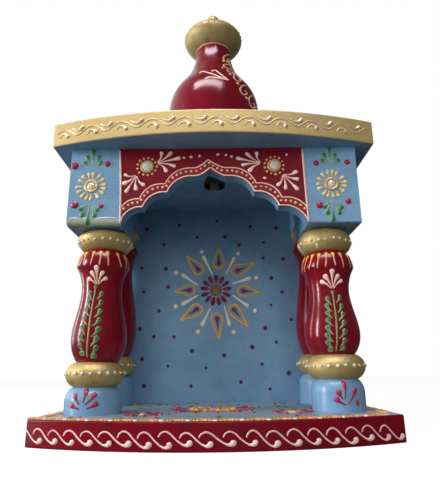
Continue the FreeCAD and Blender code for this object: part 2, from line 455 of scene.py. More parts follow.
def blank(name):
    """A new material: its node tree and the place on the shrine in metres."""
    material = bpy.data.materials.new(name)
    material.use_nodes = True
    tree = material.node_tree
    tree.nodes.clear()
    return tree, add_node(tree, "TexCoord")["Object"]


def finish_paint(tree, coat, depth=0.05, **inputs):
    """Ends a material: its colour, roughness and height, raised by depth mm, and other inputs."""
    colour, rough, height = coat
    bump = {"Strength": 1.0, "Distance": depth * MM, "Height": height}
    surface = {"Base Color": colour, "Roughness": rough, "Normal": add_node(tree, "Bump", bump)[0]}
    surface.update({name.replace("_", " "): value for name, value in inputs.items()})
    add_node(tree, "OutputMaterial", [add_node(tree, "BsdfPrincipled", surface)[0]])


def enamel_coat(tree, place, colour, deep, gloss, brush=(1.0, 1.0, 9.0)):
    """Oil enamel put on with a brush: cloudy thickness, streaks of the bristles, specks of dust."""
    drawn = add_node(tree, "Mapping", {"Vector": place, "Scale": brush})[0]
    # real bristle marks are about 0.25 mm apart; these are 0.6 to 1 mm apart, so that they show
    cloud, streak, speck = [
        add_node(
            tree,
            "TexNoise",
            {"Vector": where, "Scale": per_size(size), "Detail": detail, "Roughness": rough},
        )[0]
        for where, size, detail, rough in (
            (place, 24, 4.0, 0.6),
            (drawn, 5.0, 3.0, 0.7),
            (place, 0.9, 2.0, 0.6),
        )
    ]
    body = add_node(tree, "Math", [cloud, streak], operation="ADD")[0]
    thick = add_node(tree, "MapRange", [body, 0.75, 1.25])[0]
    mixed = add_node(tree, "Mix", {0: thick, 6: colour, 7: deep}, data_type="RGBA")[2]
    dust = add_node(tree, "MapRange", [speck, 0.69, 0.76, 0.0, 0.35])[0]
    dirt = [share * 0.35 for share in deep]
    mixed = add_node(tree, "Mix", {0: dust, 6: mixed, 7: dirt}, data_type="RGBA")[2]
    rough = add_node(tree, "MapRange", [cloud, 0.3, 0.7, gloss * 0.8, gloss * 1.35])[0]
    height = add_node(tree, "Math", [streak, speck, 0.35], operation="MULTIPLY_ADD")[0]
    return mixed, rough, height


def gold_coat(tree, place, colour, dark, dirt):
    """Bronze-powder paint: grainy flakes, brown where it is thin or grimy."""
    grain, patch = [
        add_node(
            tree,
            "TexNoise",
            {"Vector": place, "Scale": per_size(size), "Detail": detail, "Roughness": rough},
        )[0]
        for size, detail, rough in ((1.1, 3.0, 0.75), (9.0, 4.0, 0.6))
    ]
    both = add_node(tree, "Math", [grain, patch], operation="ADD")[0]
    thin = add_node(tree, "MapRange", [both, 1.32 - dirt * 0.5, 1.5 - dirt * 0.35])[0]
    mixed = add_node(tree, "Mix", {0: thin, 6: colour, 7: dark}, data_type="RGBA")[2]
    rough = add_node(tree, "MapRange", [grain, 0.3, 0.7, 0.34, 0.58])[0]
    return mixed, rough, grain


def wavering(tree, place, axis, size, reach):
    """One coordinate, moved by up to reach mm in patches of that size, as a painted edge is."""
    noise = {"Vector": place, "Scale": per_size(size), "Detail": 2.0}
    values = [
        add_node(tree, "TexNoise", noise)[0],
        reach * MM,
        add_node(tree, "SeparateXYZ", [place])[axis],
    ]
    return add_node(tree, "Math", values, operation="MULTIPLY_ADD")[0]


def from_above(tree, place, x, y):
    """The level way from x and y in mm, and its length."""
    flat = [place, (1.0, 1.0, 0.0), (-x * MM, -y * MM, 0.0)]
    way = add_node(tree, "VectorMath", flat, operation="MULTIPLY_ADD")[0]
    return way, add_node(tree, "VectorMath", [way], operation="LENGTH")["Value"]


def blend(tree, mask, first, second):
    """Two coats in one: first where mask is 0, second where it is 1."""
    colours = {0: mask, 6: first[0], 7: second[0]}
    numbers = [{0: mask, 2: first[part], 3: second[part]} for part in (1, 2)]
    return (
        add_node(tree, "Mix", colours, data_type="RGBA")[2],
        *(add_node(tree, "Mix", pair)[0] for pair in numbers),
    )


def enamelled_wood(name, colour, deep, gloss, depth=0.05, shine=0.5):
    """Turned or sawn wood under one glossy enamel: soft brush streaks and broad highlights."""
    tree, place = blank(name)
    coat = enamel_coat(tree, place, colour, deep, gloss)
    finish_paint(tree, coat, depth, Specular_IOR_Level=shine)


def gilded_wood(name, colour, dark, dirt, depth=0.24, gleam=0.5):
    """Wood under bronze-powder paint: a dull metal gleam broken by grain and grime."""
    tree, place = blank(name)
    finish_paint(tree, gold_coat(tree, place, colour, dark, dirt), depth, Metallic=gleam)


def hazy(name, bright, dull, size, rough, depth, **inputs):
    """Glass or metal, mottled from bright to dull in patches of size mm: oxide haze on the metal,
    painted reflection on the glass.
    """
    tree, place = blank(name)
    noise = {"Vector": place, "Scale": per_size(size), "Detail": 3.0, "Roughness": 0.6}
    haze_and_reflection = add_node(tree, "TexNoise", noise)[0]
    colours = {0: haze_and_reflection, 6: linear(bright), 7: linear(dull)}
    mixed = add_node(tree, "Mix", colours, data_type="RGBA")[2]
    rough = add_node(tree, "MapRange", [haze_and_reflection, 0.3, 0.7, *rough])[0]
    finish_paint(tree, (mixed, rough, haze_and_reflection), depth, **inputs)


def painted_mirror_gem(name, bright, dull):
    """Small pressed mirror glass, silvered behind, with little real mirror: its bright colour with
    dull patches is a painted reflection.
    """
    glass = {"Metallic": 0.2, "Coat_Weight": 0.8, "Coat_Roughness": 0.05}
    hazy(name, bright, dull, size=2.4, rough=(0.1, 0.3), depth=0.2, **glass)


def raised_paint(name, middle, rim, tail, rough=0.32):
    """Thick relief paint squeezed from a cone: full in its middle, thin at its rim and tail."""
    tree, place = blank(name)
    marks = add_node(tree, "Attribute", attribute_name="stroke")["Vector"]
    tone, crown, along = add_node(tree, "SeparateXYZ", [marks])
    flow = add_node(tree, "MapRange", [along, 0.25, 0.75])[0]
    mixed = add_node(tree, "Mix", {0: flow, 6: tail, 7: middle}, data_type="RGBA")[2]
    full = add_node(tree, "MapRange", [crown, 0.35, 0.95])[0]
    mixed = add_node(tree, "Mix", {0: full, 6: rim, 7: mixed}, data_type="RGBA")[2]
    noise = {"Vector": place, "Scale": per_size(1.6), "Detail": 3.0, "Roughness": 0.6}
    noise = add_node(tree, "TexNoise", noise)[0]
    shade = add_node(tree, "Math", [tone, 0.07, 1.0], operation="MULTIPLY_ADD")[0]
    patch = add_node(tree, "MapRange", [noise, 0.3, 0.7, 0.86, 1.1])[0]
    value = add_node(tree, "Math", [shade, patch], operation="MULTIPLY")[0]
    tinted = add_node(tree, "HueSaturation", {"Color": mixed, "Value": value})[0]
    gloss = add_node(tree, "MapRange", [noise, 0.3, 0.7, rough * 0.8, rough * 1.3])[0]
    finish_paint(tree, (tinted, gloss, noise))


def base_board(colours):
    """Base board: glossy crimson on its edges, sky blue on top inside a narrow margin."""
    tree, place = blank("base_board_enamel")
    red = enamel_coat(tree, place, colours.red, colours.red_deep, gloss=0.3, brush=(1.0, 1.0, 6.0))
    floor = (linear("#9fb9c9"), linear("#8fa1ab"))
    blue = enamel_coat(tree, place, *floor, gloss=0.34, brush=(6.0, 1.0, 1.0))
    height = wavering(tree, place, "Z", size=7.0, reach=0.3)
    _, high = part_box("base_slab")
    top = add_node(tree, "MapRange", [height, high.z - 0.4 * MM, high.z - 0.1 * MM])[0]
    radius, middle = bow_circle(*BASE_EDGE)
    _, reach = from_above(tree, place, 0.0, middle)
    inside = add_node(tree, "MapRange", [reach, (radius - 1.9) * MM, (radius - 2.2) * MM])[0]
    mask = add_node(tree, "Math", [top, inside], operation="MULTIPLY")[0]
    finish_paint(tree, blend(tree, mask, red, blue), Specular_IOR_Level=0.16)


def roof_board(colours):
    """Roof board: gold paint on its edges, blue above and below, near-black painted shade in the hole
    and round its mouth.
    """
    tree, place = blank("roof_board_paint")
    gold = gold_coat(tree, place, colours.gold_pale, colours.gold, dirt=0.2)
    blue = enamel_coat(tree, place, colours.blue, colours.blue_deep, gloss=0.4, brush=(6.0, 1.0, 1.0))
    # wood darkened to near black: painted shade inside the hole
    bare_and_painted_light = enamel_coat(tree, place, linear("#241a16"), linear("#120d0c"), gloss=0.7)
    low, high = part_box("roof_slab")
    height = wavering(tree, place, "Z", size=6.0, reach=0.3)
    over = add_node(tree, "MapRange", [height, low.z + 0.22 * MM, low.z + 0.36 * MM])[0]
    under = add_node(tree, "MapRange", [height, high.z - 0.3 * MM, high.z - 0.6 * MM])[0]
    edge = add_node(tree, "Math", [over, under], operation="MULTIPLY")[0]
    screw = node_centre("dome_screw")
    way, reach = from_above(tree, place, screw.x, screw.y)
    # near-black painted shade reaches out of the hole onto the ceiling, to a leaning point 11 mm and
    # more towards the front
    x, y, _ = add_node(tree, "SeparateXYZ", [way])
    ahead = add_node(tree, "Math", [y, 11.0 * MM], operation="ADD")[0]
    ahead = add_node(tree, "Math", [ahead, 0.0], operation="MINIMUM")[0]
    aside = add_node(tree, "Math", [ahead, -0.37, x], operation="MULTIPLY_ADD")[0]
    aside = add_node(tree, "Math", [aside], operation="ABSOLUTE")[0]
    slope = add_node(tree, "Math", [ahead, -0.667, aside], operation="MULTIPLY_ADD")[0]
    front = add_node(tree, "Math", [y, 0.0], operation="LESS_THAN")[0]
    mouth = add_node(tree, "Mix", {0: front, 2: reach, 3: slope})[0]
    painted_hole_shade = add_node(tree, "MapRange", [mouth, 10.0 * MM, 9.8 * MM])[0]
    clear = add_node(tree, "MapRange", [reach, 30 * MM, 31 * MM])[0]
    metal = add_node(tree, "Math", [edge, clear], operation="MULTIPLY")[0]
    metal = add_node(tree, "Math", [metal, 0.45], operation="MULTIPLY")[0]
    coat = blend(tree, painted_hole_shade, blend(tree, edge, blue, gold), bare_and_painted_light)
    finish_paint(tree, coat, 0.07, Metallic=metal)


def arch_board(colours):
    """Arch panel: crimson face, its paint lapping a few mm under the cusps, blue behind."""
    tree, place = blank("arch_panel_enamel")
    red = enamel_coat(tree, place, colours.red, colours.red_deep, gloss=0.3, brush=(1.0, 1.0, 5.0))
    blue = enamel_coat(tree, place, colours.blue, colours.blue_deep, gloss=0.38, brush=(1.0, 6.0, 1.0))
    low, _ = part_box("arch_panel")
    behind = wavering(tree, place, "Y", size=16.0, reach=-6.0)
    mask = add_node(tree, "MapRange", [behind, low.y - 1.6 * MM, low.y - 1.1 * MM])[0]
    finish_paint(tree, blend(tree, mask, red, blue), Specular_IOR_Level=0.33)


def worn_and_sheened_block(colours):
    """Left block: blue enamel; below, a grey-green ground where the enamel is worn, made pale as a
    painted sheen of the rounded edge; red beside the joint.
    """
    tree, place = blank("worn_and_sheened_blue_enamel")
    blue = enamel_coat(tree, place, colours.blue, colours.blue_deep, gloss=0.3)
    # grey-green worn ground, made pale as a painted sheen where the rounded lower edge catches the
    # light
    bare_and_painted_light = (linear("#b4bba6"), linear("#98a292"))
    ground_and_sheen = enamel_coat(tree, place, *bare_and_painted_light, gloss=0.35, brush=(6.0, 1.0, 1.0))
    red = enamel_coat(tree, place, colours.red, colours.red_deep, gloss=0.25)
    low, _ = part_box("left_front_block")
    height = wavering(tree, place, "Z", size=9.0, reach=1.0)
    foot = add_node(tree, "MapRange", [height, low.z + 5.4 * MM, low.z + 4.8 * MM])[0]
    x, y, z = add_node(tree, "SeparateXYZ", [place])
    front = add_node(tree, "MapRange", [y, low.y + 3.4 * MM, low.y + 3.0 * MM])[0]
    # the lower front edge: worn ground and painted sheen
    rubbed_and_sheen = add_node(tree, "Math", [foot, front], operation="MULTIPLY")[0]
    # the joint line leans 3 mm over the height of the block
    beside = add_node(tree, "Math", [z, 0.0516, x], operation="MULTIPLY_ADD")[0]
    beside = add_node(tree, "MapRange", [beside, -64.4 * MM, -64.3 * MM])[0]
    face = add_node(tree, "MapRange", [y, low.y + 0.7 * MM, low.y + 0.5 * MM])[0]
    lap = add_node(tree, "Math", [beside, face], operation="MULTIPLY")[0]
    finish_paint(tree, blend(tree, lap, blend(tree, rubbed_and_sheen, blue, ground_and_sheen), red))


# material of each CAD node by the end of its name; the last row that fits counts
COATS = (
    ("_front_block", "sky_blue_enamel"),
    ("left_front_block", "worn_and_sheened_blue_enamel"),
    ("back_wall", "sky_blue_enamel"),
    ("_cap", "sky_blue_enamel"),
    ("_foot", "sky_blue_enamel"),
    ("_post_body", "crimson_enamel"),
    ("dome", "crimson_enamel"),
    ("_ring", "aged_gold_paint"),
    ("finial", "grimy_gold_paint"),
    ("_gem", "silvered_glass"),
    ("wall_gem", "wall_glass_painted_reflection"),
    ("dome_screw", "zinc_plated_steel"),
    ("base_slab", "base_board_enamel"),
    ("roof_slab", "roof_board_paint"),
    ("arch_panel", "arch_panel_enamel"),
)


class MANDIR_OT_paints(bpy.types.Operator):
    """Mix the enamels, gold and relief paints and coat the wood with them"""

    bl_idname = "mandir.paints"
    bl_label = "Mix and coat"

    def execute(self, context):
        paint = context.scene.mandir_colours
        rust = [share * 0.7 for share in paint.border]
        tired = [share * 0.86 for share in paint.gold]
        wine = [share * 0.55 for share in paint.rose]
        glossy = {"gloss": 0.16, "depth": 0.03, "shine": 0.33}
        enamelled_wood("sky_blue_enamel", paint.blue, paint.blue_deep, gloss=0.3)
        enamelled_wood("crimson_enamel", paint.red, paint.red_deep, **glossy)
        enamelled_wood("brick_red_enamel", paint.border, rust, gloss=0.35)
        gilded_wood("aged_gold_paint", paint.gold, paint.gold_dark, dirt=0.42)
        gilded_wood("grimy_gold_paint", tired, paint.gold_dark, dirt=0.62, gleam=0.3)
        # pale pinkish gold for the roof vine: its paint, lightened as a painted sheen
        gilded_wood("vine_gold_paint_and_sheen", linear("#e2cfae"), paint.gold, dirt=0.05, depth=0.05)
        gilded_wood("pale_gold_paint", paint.gold_pale, paint.gold_dark, dirt=0.05, depth=0.05)
        for name, middle, rim, tail in (
            ("cream_relief", paint.cream, paint.pink, paint.pink),
            ("ivory_relief", paint.ivory, linear("#cbb994"), paint.ivory),
            ("bead_relief", linear("#efe3c6"), linear("#b9a878"), linear("#efe3c6")),
            ("green_relief", paint.leaf, paint.leaf_pale_and_sheen, paint.leaf_pale_and_sheen),
            ("olive_relief", linear("#8c9c62"), linear("#66793f"), linear("#8c9c62")),
            ("saffron_relief", paint.saffron, linear("#dc9a3c"), paint.peach),
            ("amber_relief", linear("#f2b87c"), linear("#d08a48"), linear("#f2b87c")),
            ("mustard_relief", paint.mustard, paint.mustard, paint.mustard),
            ("peach_relief", linear("#efc0a4"), paint.peach, paint.peach),
            ("tan_relief", linear("#efc08e"), linear("#b4713a"), linear("#efc08e")),
            ("lemon_relief", paint.lemon, linear("#dcae5a"), linear("#dcb96c")),
            ("rose_relief", paint.rose, wine, wine),
            ("plum_relief", linear("#a81c48"), paint.maroon, paint.maroon),
        ):
            raised_paint(name, middle, rim, tail)
        raised_paint("maroon_relief", paint.maroon, paint.maroon, paint.maroon, rough=0.4)
        for board in (base_board, roof_board, arch_board, worn_and_sheened_block):
            board(paint)
        # bright cream with grey patches: painted reflection of the pale room in the mirrors
        painted_mirror_gem("silvered_glass", "#fff6ea", "#c3b8a4")
        # brown-gold and dark brown: painted reflection of the crimson and gold round the wall mirror
        painted_mirror_gem("wall_glass_painted_reflection", "#c9a56c", "#5f3a2c")
        # zinc-plated steel screw under a dull, chalky grey oxide
        zinc = {"size": 2.0, "rough": (0.3, 0.5), "depth": 0.05, "Metallic": 0.4}
        hazy("zinc_plated_steel", "#b9b8b4", "#85858a", **zinc)
        for name, node in NODES.items():
            fits = [material for ending, material in COATS if name.endswith(ending)]
            if not fits or not node.material_slots:
                raise RuntimeError(f"{name} has no paint or no material slot")
            for slot in node.material_slots:
                slot.material = bpy.data.materials[fits[-1]]
        return {"FINISHED"}


# Arch panel

ARCH_CENTRE = -2.5
ARCH_SPRING = 158.3
ARCH_CUSPS = ((-55.5, 170.3), (-36.7, 182.5), (-2.5, 203.5), (31.7, 182.5), (50.5, 170.3))
PANEL_HALF = 71.9


def within_panel(x):
    """x kept between the two blocks."""
    return max(-PANEL_HALF, min(PANEL_HALF, x))


def arch_lobes(tree):
    """The cusped edge as one run of places for each lobe, found on the panel's own underside."""
    low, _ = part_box("arch_panel")
    centre = Vector((ARCH_CENTRE * MM, low.y + 0.002, (ARCH_SPRING - 4.0) * MM))
    stops = [math.radians(176.0)]
    stops.extend(math.atan2(z * MM - centre.z, x * MM - centre.x) for x, z in ARCH_CUSPS)
    stops.append(math.radians(4.0))
    lobes = []
    for first, last in zip(stops, stops[1:]):
        lobe = []
        for index in range(15):
            angle = first + (last - first) * (0.02 + 0.96 * index / 14)
            hit, _, _, _ = tree.ray_cast(centre, Vector((math.cos(angle), 0.0, math.sin(angle))))
            if hit is None:
                continue
            if abs(hit.x) / MM < PANEL_HALF - 0.3 and hit.z / MM > ARCH_SPRING + 0.6:
                lobe.append((hit.x / MM, hit.z / MM))
        lobes.append(lobe)
    for index, cusp in enumerate(ARCH_CUSPS):
        lobes[index].append(cusp)
        lobes[index + 1].insert(0, cusp)
    lobes[0].insert(0, (-PANEL_HALF, low.z / MM + 0.5))
    lobes[-1].append((PANEL_HALF, low.z / MM + 0.5))
    return lobes


def raised_lobe(lobe, rise):
    """The same run for the upper line: spread by 5% and lifted, less so near the springing."""
    run = []
    for x, z in lobe:
        wide = ARCH_CENTRE + (x - ARCH_CENTRE) * 1.05
        wide -= 2.0 * max(0.0, 1 - abs(x - ARCH_CENTRE) / 14)
        if abs(wide) < PANEL_HALF + 1.3:
            lift = rise * min(1.0, 0.62 + 0.03 * (z - ARCH_SPRING))
            run.append((within_panel(wide), z + lift))
    return run


def set_back(run, distance):
    """The same run moved into the panel, away from the opening below it."""
    moved = []
    for index, (x, z) in enumerate(run):
        before = run[max(index - 1, 0)]
        after = run[min(index + 1, len(run) - 1)]
        length = math.dist(before, after) or 1.0
        x -= (after[1] - before[1]) / length * distance
        z += (after[0] - before[0]) / length * distance
        moved.append((within_panel(x), z))
    return moved


class MANDIR_OT_arch_border(bpy.types.Operator):
    """Draw the pale lines, the brick-red band and its dots round the cusped arch"""

    bl_idname = "mandir.arch_border"
    bl_label = "Arch border"

    FIRST_DOT = 2.4
    DOT_PITCH = 4.1
    JOINTS = (
        ((-72.6, 157.2), (-73.5, 189.7), (-75.6, 219.4)),
        ((72.9, 156.9), (72.2, 184.2), (71.6, 219.4)),
    )

    def execute(self, context):
        sizes = context.scene.mandir_sizes
        half = sizes.arch_line / MM / 2
        rise = sizes.arch_band / MM
        chart = Chart(["arch_panel"], front_aim)
        lines, band, dots = Relief(11, 0.55), Relief(12, 0.02), Relief(13, 0.6)
        run = []
        for lobe in arch_lobes(chart.tree):
            upper = raised_lobe(lobe, rise)
            run.extend(upper)
            lower = set_back(lobe, half * 0.9)
            lines.stroke(chart, lower, line_width(half), count=30, wobble=0.04)
            lines.stroke(chart, upper, line_width(half * 0.85), count=30, wobble=0.04)
            middle = [(x, z - rise * 0.42) for x, z in upper]
            band.stroke(chart, middle, line_width(rise * 0.46), count=24, wobble=0.0)
        run = [(ARCH_CENTRE + (x - ARCH_CENTRE) * 0.985, z - rise * 0.4) for x, z in run]
        gone, wait = 0.0, self.FIRST_DOT
        for here, there in zip(run, run[1:]):
            span = math.dist(here, there)
            while wait <= gone + span and span > 0:
                share = (wait - gone) / span
                stray = dots.random.uniform(-0.35, 0.35)
                a = here[0] + (there[0] - here[0]) * share + stray
                b = here[1] + (there[1] - here[1]) * share + stray * 0.6
                dots.dot(chart, a, b, sizes.arch_dot / MM, wobble=0.18)
                wait += self.DOT_PITCH
            gone += span
        joint = Chart(["arch_panel", "left_front_block", "right_front_block"], front_aim)
        for places in self.JOINTS:
            lines.stroke(joint, places, line_width(half * 1.25), count=30, wobble=0.0)
        lines.piece("arch_lines", "cream_relief")
        band.piece("arch_band", "brick_red_enamel", "red_enamel")
        dots.piece("arch_dots", "peach_relief")
        return {"FINISHED"}


# the place that each spray springs from, and the tips of its drops
PANEL_SPRAYS = (
    ((-45.2, 208.1),
     ((-41.9, 218.4), (-33.5, 217.8), (-26.4, 212.4), (-30.2, 204.9), (-37.2, 199.7))),
    ((-61.4, 197.4),
     ((-71.5, 198.6), (-72.4, 190.2), (-69.6, 182.6), (-61.1, 184.4), (-54.3, 188.6))),
    ((37.5, 207.0), ((34.8, 217.4), (25.8, 216.6), (17.8, 211.9), (21.9, 205.4), (27.9, 199.5))),
    ((54.7, 197.0), ((66.7, 200.0), (67.6, 192.7), (66.6, 183.5), (56.5, 184.1), (49.6, 187.2))),
)
PANEL_DOTS = (
    (-23.8, 212.3), (-18.2, 213.1), (-11.4, 213.9), (3.5, 215.1), (9.9, 214.5), (14.4, 213.1),
    (58.7, 214.3), (40.4, 194.1),
)


class MANDIR_OT_panel_sprays(bpy.types.Operator):
    """Paint the cream sprays and the dotted settings of the two mirrors on the arch panel"""

    bl_idname = "mandir.panel_sprays"
    bl_label = "Panel sprays"

    BEADS = 13

    def execute(self, context):
        chart = Chart(["arch_panel", "left_front_block"], front_aim)
        cream, setting, beads = Relief(21, 0.42), Relief(22, 0.6), Relief(23, 0.6)
        for base, tips in PANEL_SPRAYS:
            cream.spray(chart, base, tips, bulb=1.8, tail=0.42, gap=0.04, curl=0.12)
        for a, b in PANEL_DOTS:
            cream.dot(chart, a, b, 1.3, stretch=0.85)
        for name in ("left_panel_gem", "right_panel_gem"):
            centre = node_centre(name).xz
            setting.ring(chart, centre, radius=4.5, half=1.1)
            for index in range(self.BEADS):
                reach = 7.6 + beads.random.uniform(-0.3, 0.3)
                place = around(centre, reach, 2 * math.pi * index / self.BEADS)
                beads.dot(chart, *place, 1.1, wobble=0.15)
        cream.piece("panel_sprays", "cream_relief")
        setting.piece("panel_gem_settings", "pale_gold_paint", "gold_paint")
        beads.piece("panel_gem_beads", "amber_relief")
        return {"FINISHED"}


# Front blocks

# place and radius of the dots in the corners of each block
BLOCK_CORNERS = {
    "left": ((-110.8, 206.2, 3.0), (-84.9, 207.6, 2.4), (-108.6, 172.9, 3.0), (-88.3, 171.8, 2.3)),
    "right": ((81.9, 206.7, 2.6), (106.9, 207.3, 2.5), (82.2, 170.8, 2.8), (104.7, 173.8, 2.4)),
}
# for the upper and the lower leaf spray: height of its root over the gem, start of the leaves
# as a share of their height, bulb, bend of a leaf that reaches so many mm aside, and the tips
BLOCK_LEAVES = (
    (16.4, 0.1, 2.2, (-0.1, 6.8),
     ((-7.2, 5.4), (-4.8, 10.8), (0.0, 15.8), (4.8, 10.8), (7.2, 5.4))),
    (-15.0, 0.06, 2.35, (0.1, 7.6),
     ((-8.0, -5.6), (-5.8, -11.0), (-1.2, -16.8), (4.4, -11.2), (6.6, -6.6))),
)
# first and last x of the painted highlight along the left block's rounded lower edge, drawn as ridges
# of thick ivory paint
HIGHLIGHT_RIDGES = ((-112.6, -103.0), (-102.0, -94.5), (-93.2, -73.8))


class MANDIR_OT_block_flowers(bpy.types.Operator):
    """Paint the flower, leaf sprays and corner dots on each front block, and a painted highlight along
    the left block's lower edge
    """

    bl_idname = "mandir.block_flowers"
    bl_label = "Block flowers"

    def execute(self, context):
        petals, rings = Relief(31, 0.5), Relief(32, 0.6)
        leaves, dots, highlight_ridge = Relief(33, 0.4), Relief(34, 0.55), Relief(35, 0.5)
        for side, corners in BLOCK_CORNERS.items():
            chart = Chart([side + "_front_block"], front_aim)
            middle = node_centre(side + "_block_gem").xz
            rings.ring(chart, middle, radius=4.6, half=1.35)
            width = drop_width(tail=0.8, bulb=1.65)
            petals.petals(chart, middle, 15, 6.6, 12.2, width, turn=0.2, stray=0.08)
            for height, share, bulb, (bend, wide), tips in BLOCK_LEAVES:
                root = (middle.x, middle.y + height)
                for a, b in tips:
                    start = (root[0] + a * 0.25, root[1] + b * share)
                    tip = (root[0] + a, root[1] + b)
                    leaves.drop(chart, start, tip, bulb, tail=0.5, bend=bend * a / wide)
            for a, b, size in corners:
                dots.dot(chart, a, b, size, segments=14, rings=4)
        chart = Chart(["left_front_block"], front_aim)
        # ivory strokes along the rounded lower edge of the left block: a painted highlight
        for first, last in HIGHLIGHT_RIDGES:
            places = [(first, 161.7), ((first + last) / 2, 162.1), (last, 161.9)]
            highlight_ridge.stroke(chart, places, leaf_width(0.6), 16)
        highlight_ridge.piece("block_edge_highlight_ridge", "ivory_relief")
        petals.piece("block_petals", "lemon_relief")
        rings.piece("block_gem_settings", "pale_gold_paint", "gold_paint")
        leaves.piece("block_leaves", "green_relief")
        dots.piece("block_dots", "rose_relief")
        return {"FINISHED"}


# Posts

CORNERS = ("front_left", "front_right", "rear_left", "rear_right")


def turned_chart(name, girth, facing=0.0):
    """A chart round a turned node's own axis."""
    return Chart([name], turned_aim(node_centre(name).xy, girth, facing))


def half_width(box):
    """Half the width of a box, in mm: a turned node's greatest radius."""
    low, high = box
    return (high.x - low.x) / MM / 2


# all the way down each stem, azimuth in degrees and height in mm; then for the leaves on its
# left and on its right the first height, the last and the count
VINES = {
    "front_left": (
        ((-4.0, 110.5), (-6.4, 100.3), (-7.5, 92.5), (-7.6, 84.9), (-7.1, 76.6), (-8.6, 67.6),
         (-10.9, 57.4)),
        (107.6, 61.7, 8),
        (106.9, 59.6, 8),
    ),
    "front_right": (
        ((-3.4, 104.6), (-2.9, 99.1), (-2.7, 90.3), (-2.9, 82.7), (-4.1, 73.5), (-5.3, 65.5),
         (-7.2, 60.0)),
        (101.3, 62.3, 8),
        (102.1, 63.0, 7),
    ),
}
# the place that each post's spray springs from, then the tips of its drops, in the same measures
POST_SPRAYS = {
    "front_left": (
        (0.0, 111.1), (-29, 117.3), (-16.2, 122.5), (-1.2, 126.4), (15.9, 122.4), (27.5, 117.3)
    ),
    "front_right": (
        (-2.8, 105.9), (-36, 113.1), (-22.9, 117.8), (-1.9, 121.7), (15.6, 117.8), (29, 113.6)
    ),
}


class MANDIR_OT_post_vines(bpy.types.Operator):
    """Paint the leafy vine and the cream spray up the front of each post body"""

    bl_idname = "mandir.post_vines"
    bl_label = "Post vines"

    WAIST = 16.5
    BELLY = 19.0

    def execute(self, context):
        leaves, sprays, stems = Relief(41, 0.42), Relief(42, 0.42), Relief(45, 0.42)
        for corner, (stem, left, right) in VINES.items():
            self.vine(leaves, stems, corner, wrapped(self.BELLY, stem), left, right)
        for corner, places in POST_SPRAYS.items():
            chart = turned_chart(corner + "_post_body", self.WAIST)
            base, *tips = wrapped(self.WAIST, places)
            sprays.spray(chart, base, tips, bulb=1.95, tail=0.42, gap=0.1, curl=0.1)
        leaves.piece("post_leaves", "green_relief")
        stems.piece("post_stems", "olive_relief")
        sprays.piece("post_sprays", "cream_relief")
        return {"FINISHED"}

    def vine(self, leaves, stems, corner, stem, left, right):
        """A stem with a row of leaves on each side."""
        chart = turned_chart(corner + "_post_body", self.BELLY)
        stems.stroke(chart, stem, line_width(0.72), 30)
        (top_a, top_b), (root_a, root_b) = stem[0], stem[-1]
        leaves.drop(chart, (top_a, top_b - 4.0), (top_a, top_b + 1.0), bulb=1.8, tail=0.6)
        for side, widest, (first, last, count) in ((-1, 6.3, left), (1, 7.4, right)):
            for index in range(count):
                height = first + (last - first) * index / (count - 1)
                middle = root_a + (top_a - root_a) * (height - root_b) / (top_b - root_b)
                reach = leaves.random.uniform(widest - 0.8, widest)
                fall = leaves.random.uniform(6.2, 8.0) if index < count - 1 else 2.4
                near = (middle + side * leaves.random.uniform(1.7, 2.3), height - fall)
                tip = (middle + side * reach, height)
                leaves.drop(chart, near, tip, bulb=2.0, bend=side * -0.1, power=1.9)


# azimuth of each drip's bulb that shows, and how far its tail strays, in degrees
DRIPS = {
    "front_left": (
        (-51.6, -4), (-34.1, 3), (-10.7, -4), (7.6, -2), (23.2, 2), (49.4, 7), (76.6, -3)
    ),
    "front_right": (
        (-87.4, -2), (-67.4, -9), (-49.2, -8), (-31.0, -4), (-12.7, -4), (3.2, 2), (22.7, 2),
        (48.2, 0),
    ),
}
# cream that ran down from the beads of the upper ring: azimuth, first and last mm below its top
DRIBBLES = {
    "front_left": ((83.0, 8.8, 15.0),),
    "front_right": ((-86.0, 11.0, 18.0), (-31.0, 14.0, 17.6)),
}


class MANDIR_OT_post_drips(bpy.types.Operator):
    """Hang the saffron drips under the upper ring of the front posts"""

    bl_idname = "mandir.post_drips"
    bl_label = "Post drips"

    GIRTH = 20.0

    def execute(self, context):
        drips, dribbles = Relief(43, 0.42), Relief(44, 0.6)
        for corner, shown in DRIPS.items():
            body = corner + "_post_body"
            chart = turned_chart(body, self.GIRTH)
            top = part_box(body)[1].z / MM
            # more of them, 20 degrees apart, go round the back
            behind = int((360 + shown[0][0] - shown[-1][0]) / 20)
            pitch = (360 + shown[0][0] - shown[-1][0]) / behind
            hidden = [(shown[-1][0] + pitch * (index + 1), 0) for index in range(behind - 1)]
            for azimuth, stray in (*shown, *hidden):
                a = self.GIRTH * math.radians(azimuth)
                slip = self.GIRTH * math.radians(stray)
                fall = drips.random.uniform(13.6, 15.2)
                middle = (a + slip * 0.3, top - fall * 0.6)
                places = [(a + slip, top - fall), middle, (a, top - 1.9)]
                drips.stroke(chart, places, drip_width(tail=0.6, bulb=1.85), 14)
        for corner, places in DRIBBLES.items():
            ring = corner + "_upper_ring"
            low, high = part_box(ring)
            girth = half_width((low, high))
            chart = turned_chart(ring, girth)
            top = high.z / MM
            for azimuth, start, end in places:
                a = girth * math.radians(azimuth)
                end = min(end, (high.z - low.z) / MM - 1.0)
                run = [(a - 0.6, top - end), (a + 0.3, top - (start + end) / 2), (a, top - start)]
                dribbles.stroke(chart, run, drip_width(tail=0.5, bulb=1.1), 12)
        drips.piece("post_drips", "saffron_relief")
        dribbles.piece("ring_dribbles", "ivory_relief")
        return {"FINISHED"}


